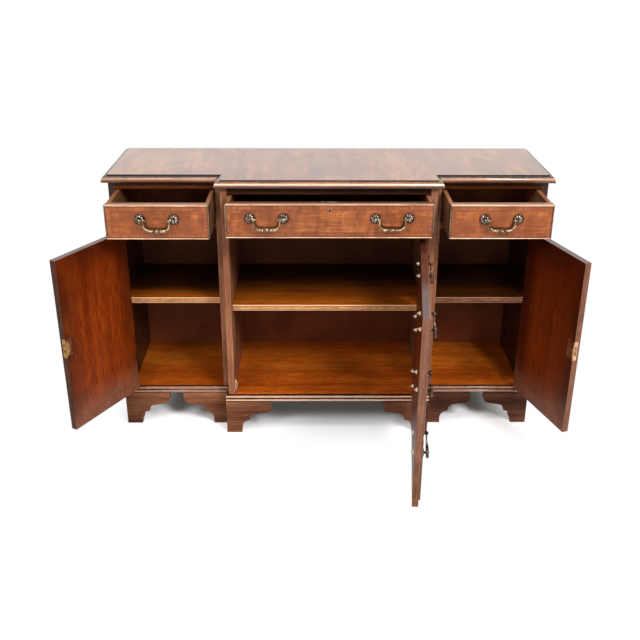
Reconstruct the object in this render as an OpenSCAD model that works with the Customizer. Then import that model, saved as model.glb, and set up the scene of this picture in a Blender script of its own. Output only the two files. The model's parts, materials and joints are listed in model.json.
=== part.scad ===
// Breakfront sideboard: three drawers over three cupboards, on bracket feet.
// Origin: floor level, middle of the back. +X right, +Z up, the front faces -Y.
// The centre bay stands forward of the side bays. Doors and drawers rest partly open.

/* [Cabinet] */
// Width of the carcass, without the mouldings
carcass_w = 1338; // [1250:1:1450]
// Depth of a side bay, back to front plane
side_depth = 340; // [310:1:400]
// Outer width of the centre block
centre_w = 650; // [600:1:700]
// How far the centre block stands forward
break_d = 61.5; // [40:0.5:90]
// Height from the floor to the top surface
cabinet_h = 864.5; // [820:0.5:920]

/* [Levels] */
// Height of the bracket feet
foot_h = 116; // [105:1:140]
// Thickness of the bottom boards, behind the plinth moulding
floor_t = 25; // [18:0.5:30]
// Height of the drawer openings
drawer_opening_h = 104.6; // [90:0.1:130]
// Height of the front rail under the top
top_rail_h = 22.4; // [15:0.1:40]
// Thickness of the rails and runners under the drawers
divider_t = 22; // [16:0.5:30]
// Height of the shelf tops above the cupboard floor
shelf_rise = 310; // [200:1:420]

/* [Boards] */
// Thickness of the top board
top_t = 21.5; // [19:0.5:30]
// Thickness of the side panels
panel_t = 19.5; // [16:0.5:25]
// Thickness of the partitions between the bays
partition_t = 20; // [16:0.5:26]
// Width of the stiles that close the side bays beside the centre block
stile_w = 21.5; // [16:0.5:30]
// Thickness of those stiles
stile_t = 22; // [16:0.5:30]
// Thickness of the shelves
shelf_t = 20; // [14:0.5:25]
// Thickness of the back boards
back_t = 8; // [5:0.5:12]
// Depth of the rails, front to back
rail_depth = 60; // [40:1:90]
// Thickness of the dust boards
dust_t = 6; // [4:0.5:9]
// How far the shelf edges stand behind the closed doors
shelf_setback = 5; // [2:0.5:20]

/* [Mouldings] */
// Overhang of the moulded top edge
top_over = 17; // [14:0.5:25]
// Projection of the plinth moulding and of the feet
plinth_over = 10; // [8:0.5:14]

/* [Feet] */
// Thickness of the bracket boards
bracket_t = 20; // [14:0.5:22]
// Width of a foot at the floor
foot_w = 50; // [40:1:60]
// Width of the scroll from the foot to the bracket's tip
scroll_w = 99; // [85:1:105]
// Height at which the scroll starts
scroll_z = 20; // [10:1:22]

/* [Drawers] */
// Gap around drawer fronts and doors
front_gap = 1.5; // [1:0.1:3]
// Thickness of the drawer fronts
drawer_front_t = 28; // [20:0.5:32]
// Thickness of the drawer sides and backs
drawer_side_t = 12; // [8:0.5:14]
// Thickness of the drawer bottoms
drawer_bottom_t = 6; // [4:0.5:8]
// Height of the bottoms above the lower edge of the sides
bottom_rise = 8; // [6:0.5:14]
// Running clearance of the drawers on their runners
run_gap = 0.3; // [0.2:0.05:0.8]
// Thickness of the cockbead
bead_t = 3; // [2:0.25:4]
// How far the cockbead stands proud
bead_out = 2.5; // [1.5:0.25:4]
// Depth of the rebate that holds the cockbead
bead_in = 9; // [5:0.5:12]

/* [Doors] */
// Thickness of the side doors
door_t = 19; // [16:0.5:22]
// Thickness of the centre door without its false fronts
centre_door_t = 17; // [15:0.5:20]
// Thickness of the false drawer fronts
false_t = 2; // [1.5:0.5:4]
// Height of the lowest false drawer front
false_low_h = 178; // [150:1:190]
// Height of the middle false drawer front
false_mid_h = 165; // [140:1:175]
// Height of the false rails between them
false_rail_h = 20; // [12:1:26]
// Plain margin below the lowest false front
false_foot = 20; // [10:1:30]
// Plain margin round the other edges of the false fronts
false_edge = 3; // [2:0.5:8]

/* [Hinges] */
// Distance of the hinge pins in front of the door face
pin_out = 8; // [6:0.5:11]
// Length of a hinge
hinge_h = 64; // [50:1:80]
// Width of a hinge leaf, from the pin
leaf_w = 30; // [22:1:32]
// Thickness of a hinge leaf
leaf_t = 1.5; // [1:0.1:2]
// Outer radius of the hinge knuckles
knuckle_r = 4.5; // [3.8:0.1:5.5]
// Radius of the hinge pins
pin_r = 2.25; // [1.5:0.05:2.6]
// Distance of a hinge's middle from the door's top or bottom edge
hinge_inset = 95; // [60:1:130]

/* [Handles] */
// Distance between the two posts of a handle
post_spacing = 98; // [80:1:110]
// Height of the posts, as a share of the drawer front's height
post_share = 0.59; // [0.5:0.01:0.7]
// Offset of the wide drawer's handles from its middle
handle_offset = 182; // [120:1:190]
// Radius of a rosette
rosette_r = 14; // [10:0.5:17]
// Distance of the bail's pivot from the drawer face
pivot_out = 16; // [13:0.5:22]
// Drop of the bail below its pivot
bail_drop = 30; // [25:0.5:42]
// Radius of the bail rod
rod_r = 2.6; // [2:0.1:3.2]
// Radius of the pivot pegs at the bail's ends
peg_r = 2; // [1.5:0.1:2.2]

/* [Rest pose] */
// How far the left drawer is pulled out
left_drawer_open = 169; // [0:1:250]
// How far the centre drawer is pulled out
centre_drawer_open = 96; // [0:1:300]
// How far the right drawer is pulled out
right_drawer_open = 164; // [0:1:250]
// Opening angle of the left door
left_door_open = 119; // [0:1:165]
// Opening angle of the centre door
centre_door_open = 84; // [0:1:95]
// Opening angle of the right door
right_door_open = 107.5; // [0:0.5:165]

/* [Hidden] */
$fn = 48;

// Finishes
mahogany = [0.42, 0.17, 0.09];
front_wood = [0.55, 0.24, 0.13];
inside_wood = [0.30, 0.13, 0.07];
shelf_wood = [0.50, 0.28, 0.14];
drawer_wood = [0.45, 0.22, 0.12];
brass = [0.62, 0.50, 0.28];

// Places worked out from the driving sizes
half_w = carcass_w / 2;
half_c = centre_w / 2;
centre_in = half_c - partition_t;
centre_depth = side_depth + break_d;
side_in_lo = half_c + stile_w;
side_in_hi = half_w - panel_t;
side_mid = (side_in_lo + side_in_hi) / 2;
carcass_top = cabinet_h - top_t;
rail_z = carcass_top - top_rail_h;
runner_z = rail_z - drawer_opening_h;
divider_z = runner_z - divider_t;
floor_z = foot_h + floor_t;
shelf_z = floor_z + shelf_rise;

// Opening of a side bay and of the centre bay
side_open_w = side_in_hi - side_in_lo;
centre_open_w = 2 * centre_in;

// Drawer fronts
side_front_w = side_open_w - 2 * front_gap;
centre_front_w = centre_open_w - 2 * front_gap;
front_h = drawer_opening_h - 2 * front_gap;
front_z = runner_z + front_gap;
post_z = front_z + post_share * front_h;
box_inset = 0.5;
side_drop = 3;
back_clear = 8;
back_drop = 12;
stop_t = 8;
stop_w = 40;
stop_h = 5;
guide_h = 20;
guide_gap = 0.5;
runner_w = 40;

// Doors
door_h = divider_z - floor_z - 2 * front_gap;
door_z = floor_z + front_gap;
false_high_h = door_h - false_low_h - false_mid_h - 2 * false_rail_h - false_foot - false_edge;
false_front_w = centre_front_w - 2 * false_edge;
false_bases = [
    door_z + false_foot,
    door_z + false_foot + false_low_h + false_rail_h,
    door_z + false_foot + false_low_h + false_mid_h + 2 * false_rail_h
];
false_heights = [false_low_h, false_mid_h, false_high_h];

// Hinges
side_pin = [side_in_hi - front_gap / 2, -side_depth - pin_out];
centre_pin = [centre_in - front_gap / 2, -centre_depth - pin_out];
pin_fit = 0.02;
turn_fit = 0.07;
pocket_fit = 0.2;
knuckle_gap = 0.3;
knuckles = 5;
knuckle_h = (hinge_h - (knuckles - 1) * knuckle_gap) / knuckles;
leaf_gap = 0.1;
leaf_clear = 0.3;
pin_head = 1.5;
screw_r = 1.8;
screw_head_r = 3.2;
screw_head_h = 0.9;
screw_l = 14;
screw_fit = 0.1;
screw_from_pin = 22;
screw_spread = 20;
fit = 0.05;
mitre_gap = 0.03;

// Handles
post_r = 3.5;
bolt_r = 2.4;
eye_r = 6;
eye_flat = 5.2;
rosette_h = 3.2;
nut_r = 5.5;
nut_h = 4;
bolt_tail = 5;
peg_fit = 0.06;
hook_r = 6;
corner_r = 13;
swell_r = 4.6;
swell_l = 11;
swell_x = 13;
bead_r = 4.2;
collar_r = 3.6;
collar_l = 2;

// Locks
lock_w = 30;
lock_h = 60;
lock_t = 12;
bolt_w = 20;
bolt_h = 14;
bolt_t = 5;
bolt_throw = 9;
bolt_fit = 0.3;
mortise_clear = 2;
key_r = 3;
key_w = 3;
key_l = 8;
key_from_edge = 18;
liner_t = 1.2;
liner_l = 3;
drawer_lock_w = 50;
drawer_lock_h = 34;
drawer_lock_in = 8;
drawer_lock_y = -centre_depth + drawer_front_t - drawer_lock_in;

// Shelf pegs
peg_r_wall = 3;
peg_l = 9;
peg_plate_t = 1.5;
peg_plate_w = 12;
peg_plate_h = 14;
peg_below = 7;
peg_from_front = 60;
peg_from_back = 70;
peg_steps = 3;
peg_pitch = 64;
peg_z = shelf_z - shelf_t - peg_below;
peg_y_side = [-side_depth + peg_from_front, -peg_from_back];
peg_y_centre = [-centre_depth + peg_from_front, -peg_from_back];

// Catch
catch_w = 12;
catch_h = 34;
catch_t = 1.6;

cut = 1;

// General shapes

// A box from its lowest to its highest corner.
module block(lo, hi) {
    translate(lo) cube(hi - lo);
}

// Draws its children on the right, or mirrored on the left.
module on_side(side) {
    if (side > 0) children();
    else mirror([1, 0, 0]) children();
}

// Both sides at once.
module both_sides() {
    for (side = [-1, 1]) on_side(side) children();
}

// Turns its children about an upright pin.
module swing(pin, angle) {
    translate([pin.x, pin.y, 0]) rotate([0, 0, angle]) translate([-pin.x, -pin.y, 0]) children();
}

// A rod along X.
module rod_x(r, x0, x1) {
    translate([x0, 0, 0]) rotate([0, 90, 0]) cylinder(r = r, h = x1 - x0);
}

// A rod along Y.
module rod_y(r, y0, y1) {
    translate([0, y0, 0]) rotate([-90, 0, 0]) cylinder(r = r, h = y1 - y0);
}

// Bracket feet
step = 2;
scroll_rise = 5;
curl_low = 0.27 * scroll_w;
curl_mid = 0.22 * scroll_w;
curl_tip = 0.2 * scroll_w;
block_w = 30;
block_z = 4;
arch_share = 0.65;
arch_r = 30;

// The carcass outline in plan, from the back left corner round the front.
outline = [
    [-half_w, 0], [-half_w, -side_depth], [-half_c, -side_depth], [-half_c, -centre_depth],
    [half_c, -centre_depth], [half_c, -side_depth], [half_w, -side_depth], [half_w, 0]
];
// How each corner is mitred: 0 for a square end, 1 for an outer and -1 for an inner corner.
corners = [0, 1, -1, 1, 1, -1, 1, 0];

// One length of moulding on side i of the outline, cut back a little from each mitre. The
// child is its section, drawn with the distance outwards as negative x and the height as y.
module moulding_run(i, over) {
    a = outline[i];
    b = outline[i + 1];
    run = norm(b - a);
    start = abs(corners[i]) * mitre_gap;
    end = run - abs(corners[i + 1]) * mitre_gap;
    plan = [
        [start, 0], [start - corners[i] * over, -over], [end + corners[i + 1] * over, -over],
        [end, 0]
    ];
    translate([a.x, a.y, 0]) rotate([0, 0, atan2(b.y - a.y, b.x - a.x)])
        intersection() {
            translate([-over, 0, 0]) rotate([90, 0, 90]) linear_extrude(run + 2 * over) children();
            linear_extrude(cabinet_h) polygon(plan);
        }
}

// The whole moulding round the front and the ends.
module moulding(over) {
    for (i = [0:len(outline) - 2]) moulding_run(i, over) children();
}

// Carcass

module top_board() {
    color(mahogany) translate([0, 0, carcass_top]) linear_extrude(top_t) polygon(outline);
}

// Section of the top's edge: a quirk, a full ovolo and a square fillet.
module top_section() {
    quirk = 3;
    fillet = 1.5;
    flat = 1;
    ovolo_r = top_over - quirk - flat - fillet;
    foot = top_t - quirk - ovolo_r;
    translate([0, carcass_top]) {
        translate([-flat, 0]) square([flat, top_t]);
        translate([-flat - quirk, 0]) square([quirk, top_t - quirk]);
        translate([-flat - quirk, 0]) mirror([1, 0]) square([ovolo_r, foot]);
        translate([-flat - quirk, foot]) intersection() {
            circle(r = ovolo_r);
            translate([-ovolo_r, 0]) square(ovolo_r);
        }
        translate([-top_over, 0]) square([fillet, foot - 2 * fillet]);
    }
}

module top_moulding() {
    color(mahogany) moulding(top_over) top_section();
}

// Section of the plinth moulding: two beads, one over the other, on a thin backing.
module plinth_section() {
    margin = 0.5;
    bead = (floor_t - 6 * margin) / 4;
    backing = plinth_over - bead;
    translate([-backing, foot_h]) square([backing, floor_t]);
    for (z = [foot_h + 2 * margin + bead, floor_z - margin - bead])
        translate([-backing, z]) intersection() {
            circle(r = bead);
            translate([-bead, -bead]) square([bead, 2 * bead]);
        }
}

module plinth_moulding() {
    color(mahogany) moulding(plinth_over) plinth_section();
}

// Screw pilot holes and leaf recess of one hinge, cut from the board that carries it.
// Drawn about the pin, with the board's edge plane at board_x.
module hinge_recess(board_x, leaf_x) {
    translate([min(board_x, leaf_x), 0, -hinge_h / 2 - pocket_fit])
        cube([abs(leaf_x - board_x), leaf_w + pocket_fit, hinge_h + 2 * pocket_fit]);
}

module screw_holes(dir) {
    for (dz = [-screw_spread, screw_spread])
        translate([0, screw_from_pin, dz]) rotate([0, 90 * dir, 0])
            cylinder(r = screw_r + fit, h = screw_l + fit + leaf_t);
}

// Places its children at the two hinges of a door.
module at_hinges(pin) {
    for (z = [door_z + hinge_inset, door_z + door_h - hinge_inset])
        translate([pin.x, pin.y, z]) children();
}

// What a right-hand carcass board loses to its two hinges. The board's face is half a gap
// outside the pin.
module carcass_hinge_cuts(pin) {
    at_hinges(pin) {
        hinge_recess(front_gap / 2 - cut, leaf_gap / 2 + leaf_t);
        screw_holes(1);
    }
}

// What a door's edge loses to its two hinges.
module door_hinge_cuts(pin) {
    at_hinges(pin) {
        hinge_recess(-front_gap / 2 + cut, -leaf_gap / 2 - leaf_t);
        screw_holes(-1);
    }
}

// Rows of shelf peg holes in a face that looks along +X when dir is 1, along -X when it is -1.
module peg_holes(x, ys, dir) {
    for (y = ys, i = [0:peg_steps - 1])
        translate([x, y, peg_z + (i - 1) * peg_pitch]) rotate([0, 90 * dir, 0])
            translate([0, 0, -peg_l - fit]) cylinder(r = peg_r_wall + fit, h = peg_l + fit + cut);
}

module side_panel() {
    color(mahogany) difference() {
        block([side_in_hi, -side_depth, foot_h], [half_w, 0, carcass_top]);
        carcass_hinge_cuts(side_pin);
        peg_holes(side_in_hi, peg_y_side, -1);
    }
}

module left_side_panel() {
    on_side(-1) side_panel();
}

module right_side_panel() {
    on_side(1) side_panel();
}

module partition() {
    difference() {
        block([centre_in, -centre_depth, foot_h], [half_c, 0, carcass_top]);
        peg_holes(centre_in, peg_y_centre, -1);
        peg_holes(half_c, peg_y_side, 1);
    }
}

module left_partition() {
    color(mahogany) on_side(-1) partition();
}

module right_partition() {
    color(mahogany) difference() {
        partition();
        carcass_hinge_cuts(centre_pin);
    }
}

// The stiles beside the centre block, mortised for the door locks' bolts.
module bay_stiles() {
    color(mahogany) both_sides() difference() {
        block([half_c, -side_depth, floor_z], [side_in_lo, -side_depth + stile_t, carcass_top]);
        translate([side_in_lo, door_lock_y + lock_t / 2, door_mid_z])
            rotate([0, -90, 0]) bolt_mortise();
    }
}

// Hole for a lock's bolt, going up from the origin.
module bolt_mortise() {
    w = bolt_t + 2 * mortise_clear;
    h = bolt_h + 2 * mortise_clear;
    translate([-h / 2, -w / 2, -cut]) cube([h, w, bolt_throw + mortise_clear + cut]);
}

// The rails under the top, at the front and the back of each bay.
module top_rails() {
    color(mahogany) {
        difference() {
            block([-centre_in, -centre_depth, rail_z],
                [centre_in, -centre_depth + rail_depth, carcass_top]);
            translate([0, drawer_lock_y + lock_t / 2, rail_z]) bolt_mortise();
        }
        block([-centre_in, -back_t - rail_depth, rail_z], [centre_in, -back_t, carcass_top]);
        both_sides() {
            block([side_in_lo, -side_depth, rail_z],
                [side_in_hi, -side_depth + rail_depth, carcass_top]);
            block([half_c, -back_t - rail_depth, rail_z], [side_in_hi, -back_t, carcass_top]);
        }
    }
}

// One bay's frame under its drawer: a front rail, two runners and a dust board.
// The rail starts at rail_x, the runners lie between the bay's walls at x0 and x1.
module divider_frame(x0, rail_x, x1, depth) {
    inner = rail_x + runner_w;
    outer = x1 - runner_w;
    rail_y = -depth + rail_depth;
    dust_z = divider_z + (divider_t - dust_t) / 2;
    block([rail_x, -depth, divider_z], [x1, rail_y, runner_z]);
    block([x0, rail_y, divider_z], [inner, -back_t, runner_z]);
    block([outer, rail_y, divider_z], [x1, -back_t, runner_z]);
    block([inner, rail_y, dust_z], [outer, -back_t, dust_z + dust_t]);
}

module divider_frames() {
    color(mahogany) {
        divider_frame(-centre_in, -centre_in, centre_in, centre_depth);
        both_sides() divider_frame(half_c, side_in_lo, side_in_hi, side_depth);
    }
}

// Guides beside the narrow drawers, and the stops that the drawer fronts close against.
module drawer_guides() {
    guide_x = side_in_lo + front_gap + box_inset - guide_gap;
    stop_y = drawer_front_t + run_gap;
    stop_place = centre_open_w / 4 - stop_w / 2;
    color(inside_wood) both_sides() {
        block([half_c, -side_depth + drawer_front_t + guide_gap, runner_z],
            [guide_x, -back_t, runner_z + guide_h]);
        for (dx = [-1, 1])
            translate([side_mid + dx * side_open_w / 4 - stop_w / 2, -side_depth + stop_y, runner_z])
                cube([stop_w, stop_t, stop_h]);
        translate([stop_place, -centre_depth + stop_y, runner_z]) cube([stop_w, stop_t, stop_h]);
    }
}

module bottom_boards() {
    color(inside_wood) {
        block([-centre_in, -centre_depth, foot_h], [centre_in, -back_t, floor_z]);
        both_sides() block([half_c, -side_depth, foot_h], [side_in_hi, -back_t, floor_z]);
    }
}

module back_boards() {
    color(inside_wood) {
        block([-centre_in, -back_t, foot_h], [centre_in, 0, carcass_top]);
        both_sides() block([half_c, -back_t, foot_h], [side_in_hi, 0, carcass_top]);
    }
}

// A shelf from x0 to x1, with a beaded lipping on its front edge.
module shelf(x0, x1, front) {
    lip = 8;
    nose = 2;
    quirk = 1;
    slack = 1;
    edge = [
        [0, 0], [lip - nose, 0], [lip, nose], [lip, shelf_t / 2 - nose - quirk],
        [lip - quirk, shelf_t / 2 - nose], [lip, shelf_t / 2 - nose + quirk],
        [lip, shelf_t / 2 + nose - quirk], [lip - quirk, shelf_t / 2 + nose],
        [lip, shelf_t / 2 + nose + quirk], [lip, shelf_t - nose], [lip - nose, shelf_t],
        [0, shelf_t]
    ];
    block([x0 + slack, front + lip, shelf_z - shelf_t], [x1 - slack, -back_t - slack, shelf_z]);
    translate([x1 - slack, front + lip, shelf_z - shelf_t]) rotate([90, 0, -90])
        linear_extrude(x1 - x0 - 2 * slack) polygon(edge);
}

side_shelf_y = -side_depth + door_t + shelf_setback;
centre_shelf_y = -centre_depth + false_t + centre_door_t + shelf_setback;

module left_shelf() {
    color(shelf_wood) shelf(-side_in_hi, -half_c, side_shelf_y);
}

module centre_shelf() {
    color(shelf_wood) shelf(-centre_in, centre_in, centre_shelf_y);
}

module right_shelf() {
    color(shelf_wood) shelf(half_c, side_in_hi, side_shelf_y);
}

// One shelf peg in a wall that looks along +X: a pin, a plate on the wall and a tab.
module shelf_peg() {
    tab = 10;
    rod_x(peg_r_wall, -peg_l, peg_plate_t / 2);
    block([0, -peg_plate_w / 2, peg_below - peg_plate_h], [peg_plate_t, peg_plate_w / 2, peg_below]);
    block([0, -peg_plate_w / 2, peg_below - peg_plate_t], [tab, peg_plate_w / 2, peg_below]);
}

module shelf_pegs() {
    color("gray") both_sides() {
        for (y = peg_y_centre) translate([centre_in, y, peg_z]) mirror([1, 0, 0]) shelf_peg();
        for (y = peg_y_side) {
            translate([half_c, y, peg_z]) shelf_peg();
            translate([side_in_hi, y, peg_z]) mirror([1, 0, 0]) shelf_peg();
        }
    }
}

// Bracket feet

// Outline of a bracket, from its outer corner: the foot, two hollow curls and a round tip.
module scroll() {
    low = [foot_w + curl_low, scroll_z];
    mid = [low.x + curl_mid, low.y + curl_low + step];
    tip = [foot_w + scroll_w - curl_tip, mid.y + curl_mid + scroll_rise + curl_tip];
    difference() {
        polygon([
            [0, 0], [foot_w, 0], [foot_w, low.y], [low.x, low.y], [low.x, mid.y], [mid.x, mid.y],
            [mid.x, mid.y + curl_mid], [tip.x, tip.y - curl_tip], [tip.x, foot_h], [0, foot_h]
        ]);
        translate(low) circle(r = curl_low);
        translate(mid) circle(r = curl_mid);
    }
    translate(tip) circle(r = curl_tip);
    translate(tip) square([curl_tip, foot_h - tip.y]);
}

// A bracket from its outer corner along +X, with its face on y = 0 and its back behind it.
// mitre is 1 where a second board meets it at the corner.
module bracket(mitre = 1) {
    reach = foot_w + scroll_w;
    intersection() {
        translate([0, bracket_t, 0]) rotate([90, 0, 0]) linear_extrude(bracket_t) scroll();
        linear_extrude(foot_h)
            polygon([[0, 0], [reach, 0], [reach, bracket_t], [mitre * bracket_t, bracket_t]]);
    }
}

// The plain board that returns from the centre block's front to the side bay.
module bracket_return() {
    reach = break_d + bracket_t;
    linear_extrude(foot_h)
        polygon([[0, 0], [reach, 0], [reach, bracket_t], [bracket_t, bracket_t]]);
}

// Turns a board that runs along +X into one that runs along +Y, with its face outwards.
module sideways() {
    mirror([1, -1, 0]) children();
}

// All the brackets, drawn for the left and mirrored for the right.
module bracket_feet() {
    side_x = -half_w - plinth_over;
    centre_x = -half_c - plinth_over;
    side_y = -side_depth - plinth_over;
    centre_y = -centre_depth - plinth_over;
    color(mahogany) both_sides() {
        translate([side_x, side_y, 0]) bracket();
        translate([side_x, side_y, 0]) sideways() bracket();
        translate([side_x, 0, 0]) mirror([0, 1, 0]) sideways() bracket(0);
        translate([centre_x, side_y, 0]) mirror([1, 0, 0]) bracket(0);
        translate([centre_x, centre_y, 0]) bracket();
        translate([centre_x, centre_y, 0]) sideways() bracket_return();
    }
}

// The board between the back feet, cut out in one long arch.
module back_foot_board() {
    half = half_w + plinth_over - bracket_t;
    gap = half - foot_w;
    top = arch_share * foot_h;
    color(inside_wood) rotate([90, 0, 0]) linear_extrude(bracket_t) difference() {
        translate([-half, 0]) square([2 * half, foot_h]);
        translate([-gap, -cut]) square([2 * gap, top - arch_r + cut]);
        translate([arch_r - gap, 0]) square([2 * (gap - arch_r), top]);
        for (x = [arch_r - gap, gap - arch_r]) translate([x, top - arch_r]) circle(r = arch_r);
    }
}

module glue_block(x, y) {
    translate([x, y, block_z]) cube([block_w, block_w, foot_h - block_z]);
}

module glue_blocks() {
    side_x = half_w + plinth_over - bracket_t - block_w;
    side_y = -side_depth - plinth_over + bracket_t;
    centre_x = half_c + plinth_over - bracket_t;
    centre_y = -centre_depth - plinth_over + bracket_t;
    color(inside_wood) both_sides() {
        glue_block(side_x, side_y);
        glue_block(side_x, -bracket_t - block_w);
        glue_block(centre_x, side_y);
        glue_block(centre_x - block_w, centre_y);
    }
}

// Hinges, drawn about the pin: the fixed leaf on +X, the door's leaf on -X

// The leaf's knuckles, as rings with their tabs. first is 0 for the fixed leaf, 1 for the door's.
module leaf_knuckles(first) {
    for (i = [first:2:knuckles - 1])
        translate([0, 0, -hinge_h / 2 + i * (knuckle_h + knuckle_gap)]) {
            cylinder(r = knuckle_r, h = knuckle_h);
            translate([leaf_gap / 2, 0, 0]) cube([leaf_t, knuckle_r + leaf_clear + cut, knuckle_h]);
        }
}

module hinge_leaf(first, bore) {
    difference() {
        union() {
            leaf_knuckles(first);
            translate([leaf_gap / 2, knuckle_r + leaf_clear, -hinge_h / 2])
                cube([leaf_t, leaf_w - knuckle_r - leaf_clear, hinge_h]);
        }
        translate([0, 0, -hinge_h]) cylinder(r = bore, h = 2 * hinge_h);
        for (dz = [-screw_spread, screw_spread]) translate([0, screw_from_pin, dz]) {
            rod_x(screw_r + fit, 0, leaf_t + cut);
            rod_x(screw_head_r + screw_fit, 0, leaf_gap / 2 + screw_head_h + fit);
        }
    }
}

module hinge_screws() {
    for (dz = [-screw_spread, screw_spread]) translate([leaf_gap / 2, screw_from_pin, dz]) {
        rod_x(screw_head_r, 0, screw_head_h);
        rod_x(screw_r, 0, screw_l);
    }
}

module hinge_pin() {
    translate([0, 0, -hinge_h / 2 - pin_head]) {
        cylinder(r = pin_r, h = hinge_h + 2 * pin_head);
        cylinder(r = knuckle_r, h = pin_head - fit);
    }
    translate([0, 0, hinge_h / 2 + fit]) cylinder(r = knuckle_r, h = pin_head - fit);
}

module fixed_hinge() {
    hinge_leaf(0, pin_r + pin_fit);
    hinge_screws();
    hinge_pin();
}

module door_hinge() {
    mirror([1, 0, 0]) {
        hinge_leaf(1, pin_r + turn_fit);
        hinge_screws();
    }
}

module carcass_hinges() {
    color(brass) {
        both_sides() at_hinges(side_pin) fixed_hinge();
        at_hinges(centre_pin) fixed_hinge();
    }
}

// A bowed spring leaf on a plate, low on the left partition, that holds the centre door shut.
module door_catch() {
    bow = 5;
    half = catch_h / 2;
    r = (half * half + bow * bow) / (2 * bow);
    color(brass) translate([-centre_in, centre_shelf_y, floor_z + half + catch_t]) {
        block([0, 0, -half - catch_t], [catch_t, catch_w, half + catch_t]);
        translate([catch_t, 3 * catch_w / 4, 0]) rotate([90, 0, 0]) linear_extrude(catch_w / 2)
            intersection() {
                translate([0, -half]) square([bow, 2 * half]);
                translate([bow - r, 0]) difference() {
                    circle(r = r);
                    circle(r = r - catch_t);
                }
            }
    }
}

// Handles, drawn on a face that looks along -Y, with the origin midway between the posts

// A domed rosette with its hole.
module rosette() {
    rim = 1.2;
    shape = [
        [post_r + fit, 0], [rosette_r, 0], [rosette_r, rim], [rosette_r * 0.8, rim + 1],
        [rosette_r * 0.55, rosette_h], [post_r + fit, rosette_h]
    ];
    rotate([90, 0, 0]) rotate_extrude() polygon(shape);
}

// A post: its bolt goes through a board of the given thickness, and its eye holds the bail.
module post(board) {
    difference() {
        union() {
            rod_y(post_r, -pivot_out, 0);
            rod_y(bolt_r, -cut, board + nut_h + bolt_tail);
            translate([0, -pivot_out, 0]) intersection() {
                sphere(r = eye_r);
                cube([2 * eye_flat, 2 * eye_r, 2 * eye_r], center = true);
            }
        }
        translate([0, -pivot_out, 0]) rod_x(peg_r + peg_fit, -eye_r, eye_r);
    }
}

module nut(board) {
    translate([0, board, 0]) rotate([-90, 0, 0]) difference() {
        cylinder(r = nut_r, h = nut_h, $fn = 6);
        translate([0, 0, -cut]) cylinder(r = bolt_r + fit, h = nut_h + 2 * cut);
    }
}

module handle_posts(board) {
    for (dx = [-post_spacing / 2, post_spacing / 2]) translate([dx, 0, 0]) {
        rosette();
        post(board);
        nut(board);
    }
}

// The holes that a handle's bolts need in a board.
module post_holes(board) {
    for (dx = [-post_spacing / 2, post_spacing / 2])
        translate([dx, 0, 0]) rod_y(bolt_r + fit, -cut, board + cut);
}

// A quarter turn of the bail's rod in its own plane.
module rod_bend(bend_r, from) {
    rotate([90, 0, 0]) rotate([0, 0, from]) rotate_extrude(angle = 90)
        translate([bend_r, 0]) circle(r = rod_r);
}

// A turned swelling on the grip, as long as swell_l.
module swelling() {
    rise = swell_r - rod_r;
    half = swell_l / 2;
    rotate([0, 90, 0]) rotate_extrude() polygon([
        [0, -half], [rod_r, -half], [swell_r - 0.3 * rise, -0.45 * half], [swell_r, -0.15 * half],
        [swell_r, 0.15 * half], [swell_r - 0.3 * rise, 0.45 * half], [rod_r, half], [0, half]
    ]);
}

// A swan-neck bail, hanging from its pivot at the origin.
module bail_shape() {
    hook_x = post_spacing / 2 - eye_flat - leaf_clear;
    arm_x = hook_x - hook_r;
    grip_x = arm_x - corner_r;
    collar_x = (bead_r + swell_x - swell_l / 2) / 2;
    both_sides() {
        rod_x(peg_r, hook_x - fit, post_spacing / 2 + eye_flat);
        translate([hook_x, 0, -hook_r]) rod_bend(hook_r, 90);
        translate([arm_x, 0, corner_r - bail_drop])
            cylinder(r = rod_r, h = bail_drop - corner_r - hook_r);
        translate([grip_x, 0, corner_r - bail_drop]) rod_bend(corner_r, -90);
        translate([swell_x, 0, -bail_drop]) swelling();
    }
    translate([0, 0, -bail_drop]) {
        rod_x(rod_r, -grip_x, grip_x);
        rotate([0, 90, 0]) sphere(r = bead_r);
        both_sides() rod_x(collar_r, collar_x - collar_l / 2, collar_x + collar_l / 2);
    }
}

module bail() {
    translate([0, -pivot_out, 0]) bail_shape();
}

// Drawers, drawn closed, about the middle of their bay

// Moves its children to a drawer's place: the middle of its bay, pulled out.
module drawer_place(x, depth, open) {
    translate([x, -depth - open, 0]) children();
}

// One strip of cockbead along +X with mitred ends and a round nose. The face is y = 0.
module bead_strip(run) {
    nose = bead_t / 2;
    intersection() {
        union() {
            block([0, nose - bead_out, 0], [run, bead_in, bead_t]);
            translate([0, nose - bead_out, nose]) rod_x(nose, 0, run);
        }
        translate([0, bead_in, 0]) rotate([90, 0, 0]) linear_extrude(bead_in + bead_out)
            polygon([
                [mitre_gap, 0], [run - mitre_gap, 0], [run - mitre_gap - bead_t, bead_t],
                [mitre_gap + bead_t, bead_t]
            ]);
    }
}

// Cockbead round a panel w wide and h high, whose lower edge is at z = 0.
module bead_frame(w, h) {
    translate([-w / 2, 0, 0]) bead_strip(w);
    translate([w / 2, 0, h]) rotate([0, 180, 0]) bead_strip(w);
    translate([-w / 2, 0, h]) rotate([0, 90, 0]) bead_strip(h);
    translate([w / 2, 0, 0]) rotate([0, -90, 0]) bead_strip(h);
}

// The rebate that holds the cockbead.
module bead_rebate(w, h) {
    difference() {
        block([-w / 2 - cut, -cut, -cut], [w / 2 + cut, bead_in, h + cut]);
        block([-w / 2 + bead_t, -2 * cut, bead_t], [w / 2 - bead_t, bead_in + cut, h - bead_t]);
    }
}

module drawer_front(w, handles) {
    color(front_wood) difference() {
        block([-w / 2, 0, front_z], [w / 2, drawer_front_t, front_z + front_h]);
        translate([0, 0, front_z]) bead_rebate(w, front_h);
        for (x = handles) translate([x, 0, post_z]) post_holes(drawer_front_t);
    }
}

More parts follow.
